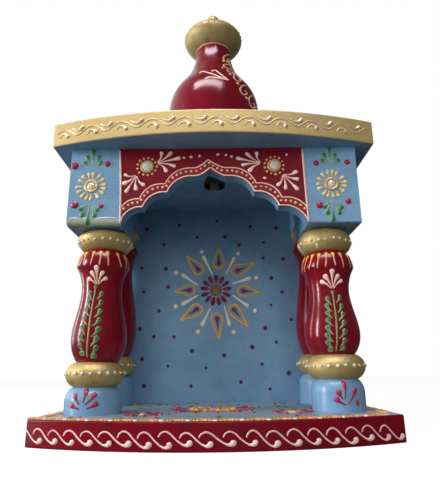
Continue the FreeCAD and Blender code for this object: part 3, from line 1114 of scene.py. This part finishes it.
class MANDIR_OT_ring_beads(bpy.types.Operator):
    """Set the ivory beads round the equator of each gold ring and of the finial"""

    bl_idname = "mandir.ring_beads"
    bl_label = "Ring beads"

    # part, size of its beads and their height as a share of the ring's
    RINGS = (("_lower_ring", 1.0, 0.54), ("_upper_ring", 0.85, 0.425))
    BEADS = 23
    CRUMBS = 34
    # height of the crumbs and of the first bead on the shoulder over the finial's foot, in mm
    CRUMB_LINE = 15.4
    SHOULDER = 26.5

    def execute(self, context):
        radius = context.scene.mandir_sizes.bead / MM
        beads, crumbs = Relief(51, 0.7), Relief(52, 0.7)
        chance = beads.random
        for corner in CORNERS:
            for ring, size, share in self.RINGS:
                low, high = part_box(corner + ring)
                girth = half_width((low, high))
                height = (low.z + (high.z - low.z) * share) / MM
                chart = turned_chart(corner + ring, girth)
                for index in range(self.BEADS):
                    turn = index + 0.4 + chance.uniform(-0.12, 0.12)
                    a = 2 * math.pi * girth * turn / self.BEADS
                    b = height + chance.uniform(-0.45, 0.45)
                    stretch = chance.uniform(0.85, 1.15)
                    beads.dot(chart, a, b, radius * size, 9, wobble=0.2, stretch=stretch)
        girth = half_width(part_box("finial"))
        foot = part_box("finial")[0].z / MM
        chart = turned_chart("finial", girth)
        for index in range(self.CRUMBS):
            turn = index + crumbs.random.uniform(-0.2, 0.2)
            height = foot + self.CRUMB_LINE + crumbs.random.uniform(-1.0, 1.0)
            a = 2 * math.pi * girth * turn / self.CRUMBS
            crumbs.dot(chart, a, height, 1.1, 8, wobble=0.3)
        # a few more beads climb over its shoulder
        for index in range(8):
            a = girth * math.radians(22 + index * 9)
            beads.dot(chart, a, foot + self.SHOULDER - index * 0.9, 0.95, 8, wobble=0.2)
        beads.piece("ring_beads", "bead_relief")
        crumbs.piece("finial_beads", "aged_gold_paint", "gold_paint")
        return {"FINISHED"}


# tail and tip of each drop: azimuth in degrees, height in mm
FOOT_DROPS = {
    "front_left": (
        ((-10.3, 22.1), (-33.6, 25.4)),
        ((-11.4, 24.9), (-26.4, 32.6)),
        ((-5.7, 26.0), (-2.3, 36.1)),
        ((-2.9, 24.4), (19.0, 33.2)),
        ((0.8, 22.0), (24.0, 26.5)),
    ),
    "front_right": (
        ((1.2, 22.2), (-22.0, 27.6)),
        ((-4.1, 26.2), (-15.2, 32.9)),
        ((-1.6, 26.0), (0.2, 39.0)),
        ((4.1, 22.5), (25.8, 34.1)),
    ),
}


class MANDIR_OT_foot_sprays(bpy.types.Operator):
    """Paint the crimson five-drop spray on each front foot"""

    bl_idname = "mandir.foot_sprays"
    bl_label = "Foot sprays"

    GIRTH = 20.0

    def execute(self, context):
        drops = Relief(61, 0.45)
        for corner, strokes in FOOT_DROPS.items():
            chart = turned_chart(corner + "_foot", self.GIRTH)
            for places in strokes:
                bend = 0.05 if places[1][0] < -3 else -0.05
                tail, tip = wrapped(self.GIRTH, places)
                drops.drop(chart, tail, tip, bulb=2.25, tail=0.55, bend=bend)
        drops.dot(chart, self.GIRTH * math.radians(27.2), 24.0, 1.9, stretch=1.35)
        drops.piece("foot_sprays", "rose_relief")
        return {"FINISHED"}


# Board edges


class MANDIR_OT_roof_vine(bpy.types.Operator):
    """Draw the raised gold vine with its curled leaves along the roof edge"""

    bl_idname = "mandir.roof_vine"
    bl_label = "Roof vine"

    # place of one crest, height of the wave and length of its straight steps, in mm
    CREST = 3.0
    SWING = 3.0
    STEP = 2.2
    # for the leaf under a crest and the one over a trough: waves on from the crest, how much
    # room it needs, its line and its bulb
    LEAVES = (
        (0.0, 5, ((-4.4, -4.4), (-2.0, -1.2), (0.8, -0.8), (3.0, -2.2), (4.2, -4.6)), 1.7),
        (0.5, 6, ((-5.4, 3.6), (-2.6, 1.4), (0.8, 0.9), (3.4, 2.3), (4.4, 4.4)), 1.8),
    )

    def execute(self, context):
        sizes = context.scene.mandir_sizes
        low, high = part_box("roof_slab")
        middle = (low.z + high.z) / (2 * MM)
        vine = Relief(71, 0.9)
        depth = high.y / MM - 1.5
        for aim, start, end in (
            (bow_aim(ROOF_EDGE), -127.0, 127.0),
            (side_aim(-1), -depth, 61.0),
            (side_aim(1), -61.0, depth),
        ):
            self.run(vine, Chart(["roof_slab"], aim), start, end, middle, sizes)
        vine.piece("roof_vine", "vine_gold_paint_and_sheen", "gold_paint")
        return {"FINISHED"}

    def run(self, vine, chart, start, end, middle, sizes):
        """One stretch of vine from start to end."""
        wave = sizes.vine_wave / MM
        half = sizes.vine_line / MM / 2
        steps = int((end - start) / self.STEP)
        places = []
        for index in range(steps + 1):
            a = start + (end - start) * index / steps
            turn = 2 * math.pi * (a - self.CREST) / wave
            places.append((a, middle + self.SWING * math.cos(turn - 0.25 * math.sin(turn))))
        for first in range(0, steps, 12):
            part = places[first : first + 13]
            vine.stroke(chart, part, line_width(half), count=40, wobble=0.0)
        first = math.ceil((start - self.CREST) / wave)
        last = math.floor((end - self.CREST) / wave)
        for index in range(first, last + 1):
            for shift, room, line, bulb in self.LEAVES:
                a = self.CREST + index * wave + wave * shift
                if a - room > start and a + room < end:
                    leaf = [(a + x, middle + z) for x, z in line]
                    vine.stroke(chart, leaf, drop_width(0.5, bulb), 16)


SCROLL = (
    (-11.4, -0.8), (-10.2, 1.6), (-7.4, 3.0), (-4.2, 1.8), (-0.6, -1.8), (2.8, -4.6), (5.8, -5.9),
    (8.2, -4.9), (9.0, -2.6),
)


class MANDIR_OT_base_scrolls(bpy.types.Operator):
    """Draw the running cream scrolls along the edges of the base board"""

    bl_idname = "mandir.base_scrolls"
    bl_label = "Base scrolls"

    PITCH = 12.65

    def execute(self, context):
        half = context.scene.mandir_sizes.scroll_line / MM / 2
        scrolls = Relief(81, 0.5)
        low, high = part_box("base_slab")
        middle = (low.z + high.z) / (2 * MM) + 0.2
        chart = Chart(["base_slab"], bow_aim(BASE_EDGE))
        for index in range(20):
            a = -124.8 + self.PITCH * index
            self.motif(scrolls, chart, a + 2.5 * min(1.0, max(0.0, a / 30)), middle, half)
        for side, start in ((-1, -high.y / MM + 12.5), (1, -56.5)):
            chart = Chart(["base_slab"], side_aim(side))
            for index in range(12):
                self.motif(scrolls, chart, start + self.PITCH * index, middle, half)
        scrolls.piece("base_scrolls", "cream_relief")
        return {"FINISHED"}

    def motif(self, scrolls, chart, a, b, half):
        """One scroll about (a, b)."""
        long = scrolls.random.uniform(0.92, 1.04)
        tall = scrolls.random.uniform(0.8, 1.06)
        lift = scrolls.random.uniform(-0.5, 0.5)
        places = [(a + x * long, b + z * tall + lift) for x, z in SCROLL]
        scrolls.stroke(chart, places, scroll_width(half, 2.05), 26)


# Floor and wall


class MANDIR_OT_floor_painting(bpy.types.Operator):
    """Paint the fan border and the flowers on the top of the base board"""

    bl_idname = "mandir.floor_painting"
    bl_label = "Floor painting"

    INSET = 2.6
    FRONT_FANS = 15
    SIDE_FANS = 9
    SIDE_PITCH = 16.6
    FAN_RADII = (7.2, 5.0, 2.9)
    MIDDLE, LEFT, RIGHT = (-2.7, -7.2), (-51.7, -49.0), (55.9, -40.0)
    # radius that the scattered dots keep clear about each flower
    FLOWERS = ((MIDDLE, 36), (LEFT, 17), (RIGHT, 18))
    SCATTER = 44

    def execute(self, context):
        chart = Chart(["base_slab"], floor_aim)
        fans, dots = Relief(91, 0.85), Relief(92, 0.5)
        petals, flowers = Relief(93, 0.45), Relief(94, 0.6)
        radius, back = bow_circle(*BASE_EDGE)
        side_line = BASE_EDGE[0] - self.INSET
        half_run = radius * math.asin(BASE_EDGE[0] / radius) - 4.0
        pitch = 2 * half_run / self.FRONT_FANS
        reach = radius - self.INSET
        for index in range(self.FRONT_FANS):
            turn = (-half_run + pitch * index) / radius
            foot = (reach * math.sin(turn), back - reach * math.cos(turn))
            self.fan(fans, chart, foot, turn + math.pi / 2)
            turn = (-half_run + pitch * (index + 0.5)) / radius
            near = reach - 1.0
            dots.dot(chart, near * math.sin(turn), back - near * math.cos(turn), 2.1)
        _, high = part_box("base_slab")
        for side, facing in ((-1, 0.0), (1, math.pi)):
            for index in range(self.SIDE_FANS):
                b = high.y / MM - 12.0 - index * self.SIDE_PITCH
                self.fan(fans, chart, (side * side_line, b), facing)
                dots.dot(chart, side * (side_line - 1.0), b + 8.3, 2.1)
        # petals: their count, inner and outer radius, tail and bulb, turn and stray
        fans.petals(chart, self.MIDDLE, 12, 9.0, 19.4, drop_width(1.6, 2.5), 0.2, 0.03)
        flowers.petals(chart, self.MIDDLE, 12, 21.5, 34.5, drop_width(0.9, 2.6), 0.1, 0.03)
        petals.petals(chart, self.MIDDLE, 9, 6.4, 8.8, drop_width(0.6, 1.2))
        fans.ring(chart, self.MIDDLE, 5.8, 0.8)
        flowers.petals(chart, self.LEFT, 9, 5.5, 14.2, drop_width(0.8, 2.2))
        dots.dot(chart, *self.LEFT, 2.4)
        flowers.petals(chart, self.RIGHT, 9, 7.5, 15.6, drop_width(0.8, 2.2))
        fans.ring(chart, self.RIGHT, 5.6, 0.8)
        # a lump of spilt paint by the rear left foot
        fans.dot(chart, -77.0, 60.0, 2.5)
        for _ in range(self.SCATTER):
            place = (dots.random.uniform(-100, 100), dots.random.uniform(-75, 70))
            clear = all(math.dist(place, flower) > room for flower, room in self.FLOWERS)
            if clear and math.dist(place, (0.0, back)) < radius - 14:
                petals.dot(chart, *place, 1.6)
        fans.piece("floor_fans", "saffron_relief")
        dots.piece("floor_whites", "cream_relief")
        petals.piece("floor_maroons", "maroon_relief")
        flowers.piece("floor_flowers", "rose_relief")
        return {"FINISHED"}

    def fan(self, fans, chart, foot, facing):
        """Half rings one inside the other, open towards the edge."""
        turns = [facing + math.radians(turn) for turn in range(-90, 91, 30)]
        for radius in self.FAN_RADII:
            places = [around(foot, radius, turn) for turn in turns]
            fans.stroke(chart, places, line_width(1.05), 14)


WALL_DOTS = (
    (-74.9, 198.2), (-39.3, 202.4), (2.0, 207.1), (38.2, 200.3), (66.6, 198.3), (-20.1, 188.4),
    (10.5, 188.6), (-55.9, 180.8), (25.6, 179.3), (52.3, 181.9), (-78.8, 154.9), (-53.1, 153.5),
    (-50.6, 133.9), (-75.8, 128.9), (-59.5, 108.7), (-78.7, 90.3), (-64.0, 82.5), (-43.5, 81.8),
    (-24.9, 67.5), (-75.5, 60.2), (-49.1, 53.0), (-10.7, 50.6), (-72.6, 34.0), (-25.8, 33.4),
    (51.1, 164.5), (72.6, 163.1), (58.8, 142.4), (69.7, 127.2), (57.5, 113.6), (77.7, 98.2),
    (50.3, 89.8), (61.1, 75.5), (36.3, 70.8), (7.6, 62.7), (45.9, 53.8), (72.2, 44.8),
    (24.2, 36.7), (53.0, 29.6),
)
# middle of the round end and tip of each teardrop, from the middle of the flower
WALL_TEARDROPS = (
    ((3.4, 29.3), (3.8, 46.5)),
    ((-18.6, 22.7), (-31.0, 37.6)),
    ((-28.0, 0.4), (-43.0, -0.8)),
    ((-20.6, -20.2), (-36.8, -31.4)),
    ((0.9, -30.2), (2.5, -50.0)),
    ((18.8, -21.2), (32.8, -38.2)),
    ((29.2, -1.2), (46.8, -3.0)),
    ((23.2, 21.0), (42.0, 28.9)),
)
# tail, round end and dot of each white stroke, from the middle of the flower
WALL_SPOKES = (
    ((-3.4, 16.7), (-13.9, 38.0), (-15.1, 42.2)),
    ((10.7, 17.5), (20.9, 36.1), (24.5, 39.7)),
    ((16.8, 6.5), (38.1, 12.8), (43.5, 12.8)),
    ((17.1, -5.3), (35.0, -18.1), (41.2, -22.2)),
    ((8.3, -15.9), (14.1, -37.9), (17.9, -44.0)),
    ((-5.6, -18.3), (-15.4, -37.8), (-18.9, -43.3)),
    ((-18.2, -4.9), (-36.4, -15.1), (-42.2, -16.9)),
    ((-18.2, 5.0), (-36.5, 17.6), (-42.2, 19.1)),
)


class MANDIR_OT_wall_painting(bpy.types.Operator):
    """Paint the round flower and the scattered dots on the back wall"""

    bl_idname = "mandir.wall_painting"
    bl_label = "Wall painting"

    def execute(self, context):
        chart = Chart(["back_wall"], front_aim)
        radius = context.scene.mandir_sizes.wall_dot / MM
        maroon, gold = Relief(101, 0.4), Relief(102, 0.35)
        cream, crimson = Relief(103, 0.4), Relief(104, 0.4)
        middle = node_centre("wall_gem").xz
        maroon.ring(chart, middle, radius=5.6, half=0.6)
        crimson.petals(chart, middle, 13, 16.9, 6.6, leaf_width(2.3), turn=0.1, stray=0.03)
        for places in WALL_TEARDROPS:
            root, tip = [Vector((middle[0] + a, middle[1] + b)) for a, b in places]
            self.teardrop(gold, chart, root, tip, half=5.8)
            way = (tip - root).normalized()
            crimson.drop(chart, root + way * 9.5, root - way * 3.0, bulb=2.6, tail=0.6)
        for places in WALL_SPOKES:
            start, tip, spot = [(middle[0] + a, middle[1] + b) for a, b in places]
            cream.drop(chart, start, tip, bulb=2.75, tail=0.95)
            cream.dot(chart, *spot, 2.7)
        for a, b in WALL_DOTS:
            maroon.dot(chart, a, b, radius, wobble=0.2)
        maroon.piece("wall_maroons", "maroon_relief")
        crimson.piece("wall_petals", "plum_relief")
        gold.piece("wall_teardrops", "mustard_relief")
        cream.piece("wall_whites", "ivory_relief")
        return {"FINISHED"}

    def teardrop(self, relief, chart, root, tip, half):
        """An outlined teardrop, round about its root and pointed at its tip."""
        way = (tip - root).normalized()
        side = Vector((-way.y, way.x))
        length = (tip - root).length
        turns = [math.radians(angle) for angle in range(-110, 111, 20)]
        places = [(length, 0.0), (length - 4.5, -1.5)]
        places.extend((-half * math.cos(turn), half * math.sin(turn)) for turn in turns)
        places.extend([(length - 4.5, 1.5), (length, 0.0)])
        places = [tuple(root + way * along + side * across) for along, across in places]
        relief.stroke(chart, places, line_width(1.05), 40)
        relief.dot(chart, tip.x - way.x, tip.y - way.y, 1.6)


# Dome

# each stroke: the dome's radius there, then azimuth in degrees and height in mm along it
DOME_PETALS = (
    (42.0, ((19.7, 311.2), (10.1, 313.4), (0.5, 317.7), (-8.2, 322.0), (-16.6, 326.4),
            (-20.7, 323.5))),
    (40.0, ((19.7, 311.2), (13.4, 315.6), (8.0, 321.0), (3.0, 326.2), (-2.3, 323.9))),
    (43.0, ((19.7, 311.2), (11.9, 311.8), (2.4, 312.7), (-5.3, 313.6), (-10.4, 310.6))),
)
DOME_CURLS = (
    (20.0, ((64.7, 366.3), (46.0, 361.4), (33.4, 357.2), (30.3, 352.7), (35.7, 349.6),
            (46.0, 353.0), (47.4, 357.2))),
    (22.5, ((72.0, 360.0), (56.0, 356.0), (48.0, 350.5), (52.0, 346.0), (62.0, 348.0))),
    (25.0, ((68.2, 354.8), (42.4, 347.3), (27.9, 343.4), (22.4, 340.0), (26.4, 337.1),
            (34.0, 339.4))),
    (29.0, ((56.4, 343.1), (37.7, 338.2), (26.0, 332.1), (25.1, 327.2), (32.0, 326.8),
            (36.6, 331.4))),
    (40.0, ((47.0, 333.4), (38.0, 329.0), (30.3, 321.2), (28.7, 315.9), (33.9, 313.5),
            (40.7, 318.0), (38.4, 321.5))),
    (45.0, ((48.4, 313.4), (40.4, 310.7), (34.8, 305.2), (34.9, 300.3), (39.4, 299.2),
            (45.3, 302.8), (42.1, 305.1))),
    (45.5, ((60.4, 306.6), (52.1, 302.6), (47.8, 296.4), (50.0, 291.5), (54.9, 290.6),
            (60.0, 294.5), (57.0, 297.0))),
    (45.5, ((72.0, 299.6), (63.4, 295.0), (60.4, 288.0), (62.8, 283.0), (68.0, 282.4),
            (73.0, 286.6), (70.0, 289.0))),
)
DOME_BEADS = (
    (27.1, 349.1), (17.7, 334.7), (24.8, 322.1), (32.2, 310.1), (43.7, 297.0), (54.0, 286.0)
)


class MANDIR_OT_dome_painting(bpy.types.Operator):
    """Paint the cream spray, the chain of scrolls and the neck line on the dome"""

    bl_idname = "mandir.dome_painting"
    bl_label = "Dome painting"

    NECK = 18.4
    BEAD_GIRTH = 38.0

    def execute(self, context):
        cream, chain, beads = Relief(111, 0.45), Relief(112, 0.6), Relief(113, 0.6)
        # the back is painted like the front
        for facing in (0.0, 180.0):
            for strokes, relief, width in (
                (DOME_PETALS, cream, scroll_width(1.3 * 0.75, 1.3 * 1.15)),
                (DOME_CURLS, chain, line_width(0.95)),
            ):
                for girth, places in strokes:
                    chart = turned_chart("dome", girth, facing)
                    relief.stroke(chart, wrapped(girth, places), width, 26)
            chart = turned_chart("dome", self.BEAD_GIRTH, facing)
            for place in wrapped(self.BEAD_GIRTH, DOME_BEADS):
                beads.dot(chart, *place, 1.6)
        chart = turned_chart("dome", self.NECK)
        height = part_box("dome")[1].z / MM - 1.0
        for index in range(6):
            start = 2 * math.pi * self.NECK * index / 6
            end = 2 * math.pi * self.NECK * (index + 1) / 6
            places = [(start + (end - start) * share / 6, height) for share in range(7)]
            beads.stroke(chart, places, line_width(0.6), count=16, wobble=0.0)
        cream.piece("dome_sprays", "cream_relief")
        chain.piece("dome_scrolls", "tan_relief")
        beads.piece("dome_beads", "peach_relief")
        return {"FINISHED"}


# Screw

# radius and height in mm down the threaded end that hangs out of the hole in the ceiling
SCREW_PROFILE = (
    (4.2, 227.2), (4.2, 220.8), (3.6, 220.3), (4.4, 219.6), (4.4, 218.9), (3.6, 218.4),
    (4.4, 217.7), (4.4, 217.0), (3.6, 216.5), (4.2, 215.9), (3.9, 215.2), (2.8, 214.9),
)


class MANDIR_OT_screw_end(bpy.types.Operator):
    """Turn the dull threaded end of the screw under the ceiling"""

    bl_idname = "mandir.screw_end"
    bl_label = "Screw end"

    SIDES = 24
    THREAD = (216.0, 220.0)
    CLIMB = 0.65  # of the thread in one turn, in mm

    def execute(self, context):
        centre = node_centre("dome_screw").xy
        sides = range(self.SIDES)
        points = []
        for radius, height in SCREW_PROFILE:
            climb = self.CLIMB if self.THREAD[0] < height < self.THREAD[1] else 0.0
            for index in sides:
                x, y = around(centre, radius, 2 * math.pi * index / self.SIDES)
                points.append((x * MM, y * MM, (height + climb * index / self.SIDES) * MM))
        faces = []
        last = (len(SCREW_PROFILE) - 1) * self.SIDES
        for row in range(0, last, self.SIDES):
            for index in sides:
                here, beside = row + index, row + (index + 1) % self.SIDES
                faces.append((here, here + self.SIDES, beside + self.SIDES, beside))
        faces.append(tuple(last + index for index in reversed(sides)))
        piece = add_mesh("screw_end", points, faces, "zinc_plated_steel")
        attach(piece, "root")
        return {"FINISHED"}


# Stage


class MANDIR_OT_stage(bpy.types.Operator):
    """Set the pale floor, the soft lamps and the camera"""

    bl_idname = "mandir.stage"
    bl_label = "Stage"

    FLOOR_REACH = 4.0
    TARGET = (0.0, 0.0, 0.17)
    VIEWPOINT = (0.00253, -0.38345, 0.04518)
    # pitch, yaw and roll of the camera in degrees
    TURNS = (15.5, 0.29, -0.71)
    LENS = 32.04

    def execute(self, context):
        scene = context.scene
        scene.view_settings.view_transform = "Standard"
        self.floor()
        self.world(scene)
        # degrees to the left of straight in front, degrees up, metres away, size, watts
        self.lamp("key", 40.0, 35.0, 1.5, (1.0, 1.0), 9.0, gloss=False)
        self.lamp("front", -10.0, 12.0, 1.5, (1.4, 1.0), 9.0, gloss=False)
        self.lamp("window", 75.0, 10.0, 1.5, (0.16, 0.9), 16.0)
        self.lamp("rear_window", 112.0, 10.0, 1.5, (0.08, 0.9), 3.0)
        sky = (1.2, 0.35)
        self.lamp("skylight", 17.0, 61.0, 1.4, sky, 23.0, diffuse=False, tint="#fff6ff")
        self.camera(scene)
        return {"FINISHED"}

    def floor(self):
        """A wide pale floor that stays white to the camera and keeps the shrine's shadow."""
        tree, _ = blank("pale_floor")
        seen = add_node(tree, "LightPath")["Is Camera Ray"]
        paper = add_node(tree, "BsdfDiffuse", {"Color": linear("#84827c")})[0]
        lit = add_node(tree, "BsdfDiffuse", {"Color": linear("#818181")})[0]
        glow = add_node(tree, "Emission", {"Strength": 0.93})[0]
        white = add_node(tree, "AddShader", [lit, glow])[0]
        surface = add_node(tree, "MixShader", [seen, paper, white])[0]
        add_node(tree, "OutputMaterial", [surface])
        reach = self.FLOOR_REACH
        corners = [(-reach, -reach, 0), (reach, -reach, 0), (reach, reach, 0), (-reach, reach, 0)]
        floor = add_mesh("floor", corners, [(0, 1, 2, 3)], "pale_floor")

    def world(self, scene):
        """A white backdrop to the camera and to gloss, and a softer light on the shrine."""
        world = bpy.data.worlds.new("studio")
        world.use_nodes = True
        tree = world.node_tree
        tree.nodes.clear()
        path = add_node(tree, "LightPath")
        way = add_node(tree, "TexCoord")["Generated"]
        # gloss shows a room that is bright behind the shrine on the window side, dim in front
        dot = add_node(tree, "VectorMath", [way, (-0.7, 0.7, 0.0)], operation="DOT_PRODUCT")
        room = add_node(tree, "MapRange", [dot["Value"], 0.15, 0.75, 0.1, 1.0])[0]
        rays = [path["Is Glossy Ray"], path["Is Transmission Ray"]]
        mirror = add_node(tree, "Math", rays, operation="MAXIMUM")[0]
        soft, gloss, white = [
            add_node(tree, "Background", {"Color": colour, "Strength": strength})[0]
            for colour, strength in (
                (linear("#eff7ff"), 0.1),
                (linear("#ffffff"), room),
                (linear("#ffffff"), 1.0),
            )
        ]
        surface = add_node(tree, "MixShader", [mirror, soft, gloss])[0]
        surface = add_node(tree, "MixShader", [path["Is Camera Ray"], surface, white])[0]
        add_node(tree, "OutputWorld", [surface])
        scene.world = world

    def lamp(
        self, name, turn, rise, away, size, power, gloss=True, diffuse=True, tint="#ffffff"
    ):
        """A soft rectangular lamp that faces the shrine, seen by gloss, by dull paint or both."""
        rise = math.radians(rise)
        way = outward(-math.radians(turn)) * math.cos(rise) + Vector((0.0, 0.0, math.sin(rise)))
        data = bpy.data.lights.new(name, "AREA")
        data.shape = "RECTANGLE"
        data.size, data.size_y = size
        data.energy = power
        data.color = linear(tint)
        lamp = bpy.data.objects.new(name, data)
        lamp.location = Vector(self.TARGET) + way * away
        lamp.rotation_euler = (-way).to_track_quat("-Z", "Y").to_euler()
        lamp.visible_glossy = gloss
        lamp.visible_diffuse = diffuse
        bpy.context.scene.collection.objects.link(lamp)

    def camera(self, scene):
        """The photograph's viewpoint: low, close and looking up."""
        pitch, yaw, roll = map(math.radians, self.TURNS)
        across, ahead = math.sin(yaw), math.cos(yaw)
        forward = Vector((across * math.cos(pitch), ahead * math.cos(pitch), math.sin(pitch)))
        level = Vector((ahead, -across, 0.0))
        rise = level.cross(forward)
        right = level * math.cos(roll) + rise * math.sin(roll)
        up = rise * math.cos(roll) - level * math.sin(roll)
        data = bpy.data.cameras.new("camera")
        data.sensor_fit = "VERTICAL"
        data.sensor_height = 36.0
        data.lens = self.LENS
        data.clip_start = 0.01
        camera = bpy.data.objects.new("camera", data)
        turned = Matrix((right, up, -forward)).transposed().to_4x4()
        camera.matrix_world = Matrix.Translation(self.VIEWPOINT) @ turned
        scene.collection.objects.link(camera)
        scene.camera = camera


OPERATORS = (
    MANDIR_OT_paints,
    MANDIR_OT_arch_border,
    MANDIR_OT_panel_sprays,
    MANDIR_OT_block_flowers,
    MANDIR_OT_post_vines,
    MANDIR_OT_post_drips,
    MANDIR_OT_ring_beads,
    MANDIR_OT_foot_sprays,
    MANDIR_OT_roof_vine,
    MANDIR_OT_base_scrolls,
    MANDIR_OT_floor_painting,
    MANDIR_OT_wall_painting,
    MANDIR_OT_dome_painting,
    MANDIR_OT_screw_end,
    MANDIR_OT_stage,
)


class MANDIR_PT_panel(bpy.types.Panel):
    """Lists the steps of the painting"""

    bl_idname = "MANDIR_PT_panel"
    bl_label = "Mandir"
    bl_space_type = "VIEW_3D"
    bl_region_type = "UI"
    bl_category = "Mandir"

    def draw(self, context):
        for operator in OPERATORS:
            self.layout.operator(operator.bl_idname)
        for group in (context.scene.mandir_colours, context.scene.mandir_sizes):
            for name in group.bl_rna.properties.keys():
                if name not in ("rna_type", "name"):
                    self.layout.prop(group, name)


CLASSES = (MandirColours, MandirSizes, *OPERATORS, MANDIR_PT_panel)


def register():
    """Makes the classes and their settings known."""
    for cls in CLASSES:
        bpy.utils.register_class(cls)
    bpy.types.Scene.mandir_colours = bpy.props.PointerProperty(type=MandirColours)
    bpy.types.Scene.mandir_sizes = bpy.props.PointerProperty(type=MandirSizes)


def unregister():
    """Takes them away again."""
    del bpy.types.Scene.mandir_sizes
    del bpy.types.Scene.mandir_colours
    for cls in reversed(CLASSES):
        bpy.utils.unregister_class(cls)


def main():
    """Dresses the shrine."""
    register()
    for operator in OPERATORS:
        group, name = operator.bl_idname.split(".")
        getattr(getattr(bpy.ops, group), name)()


if __name__ == "__main__":
    main()
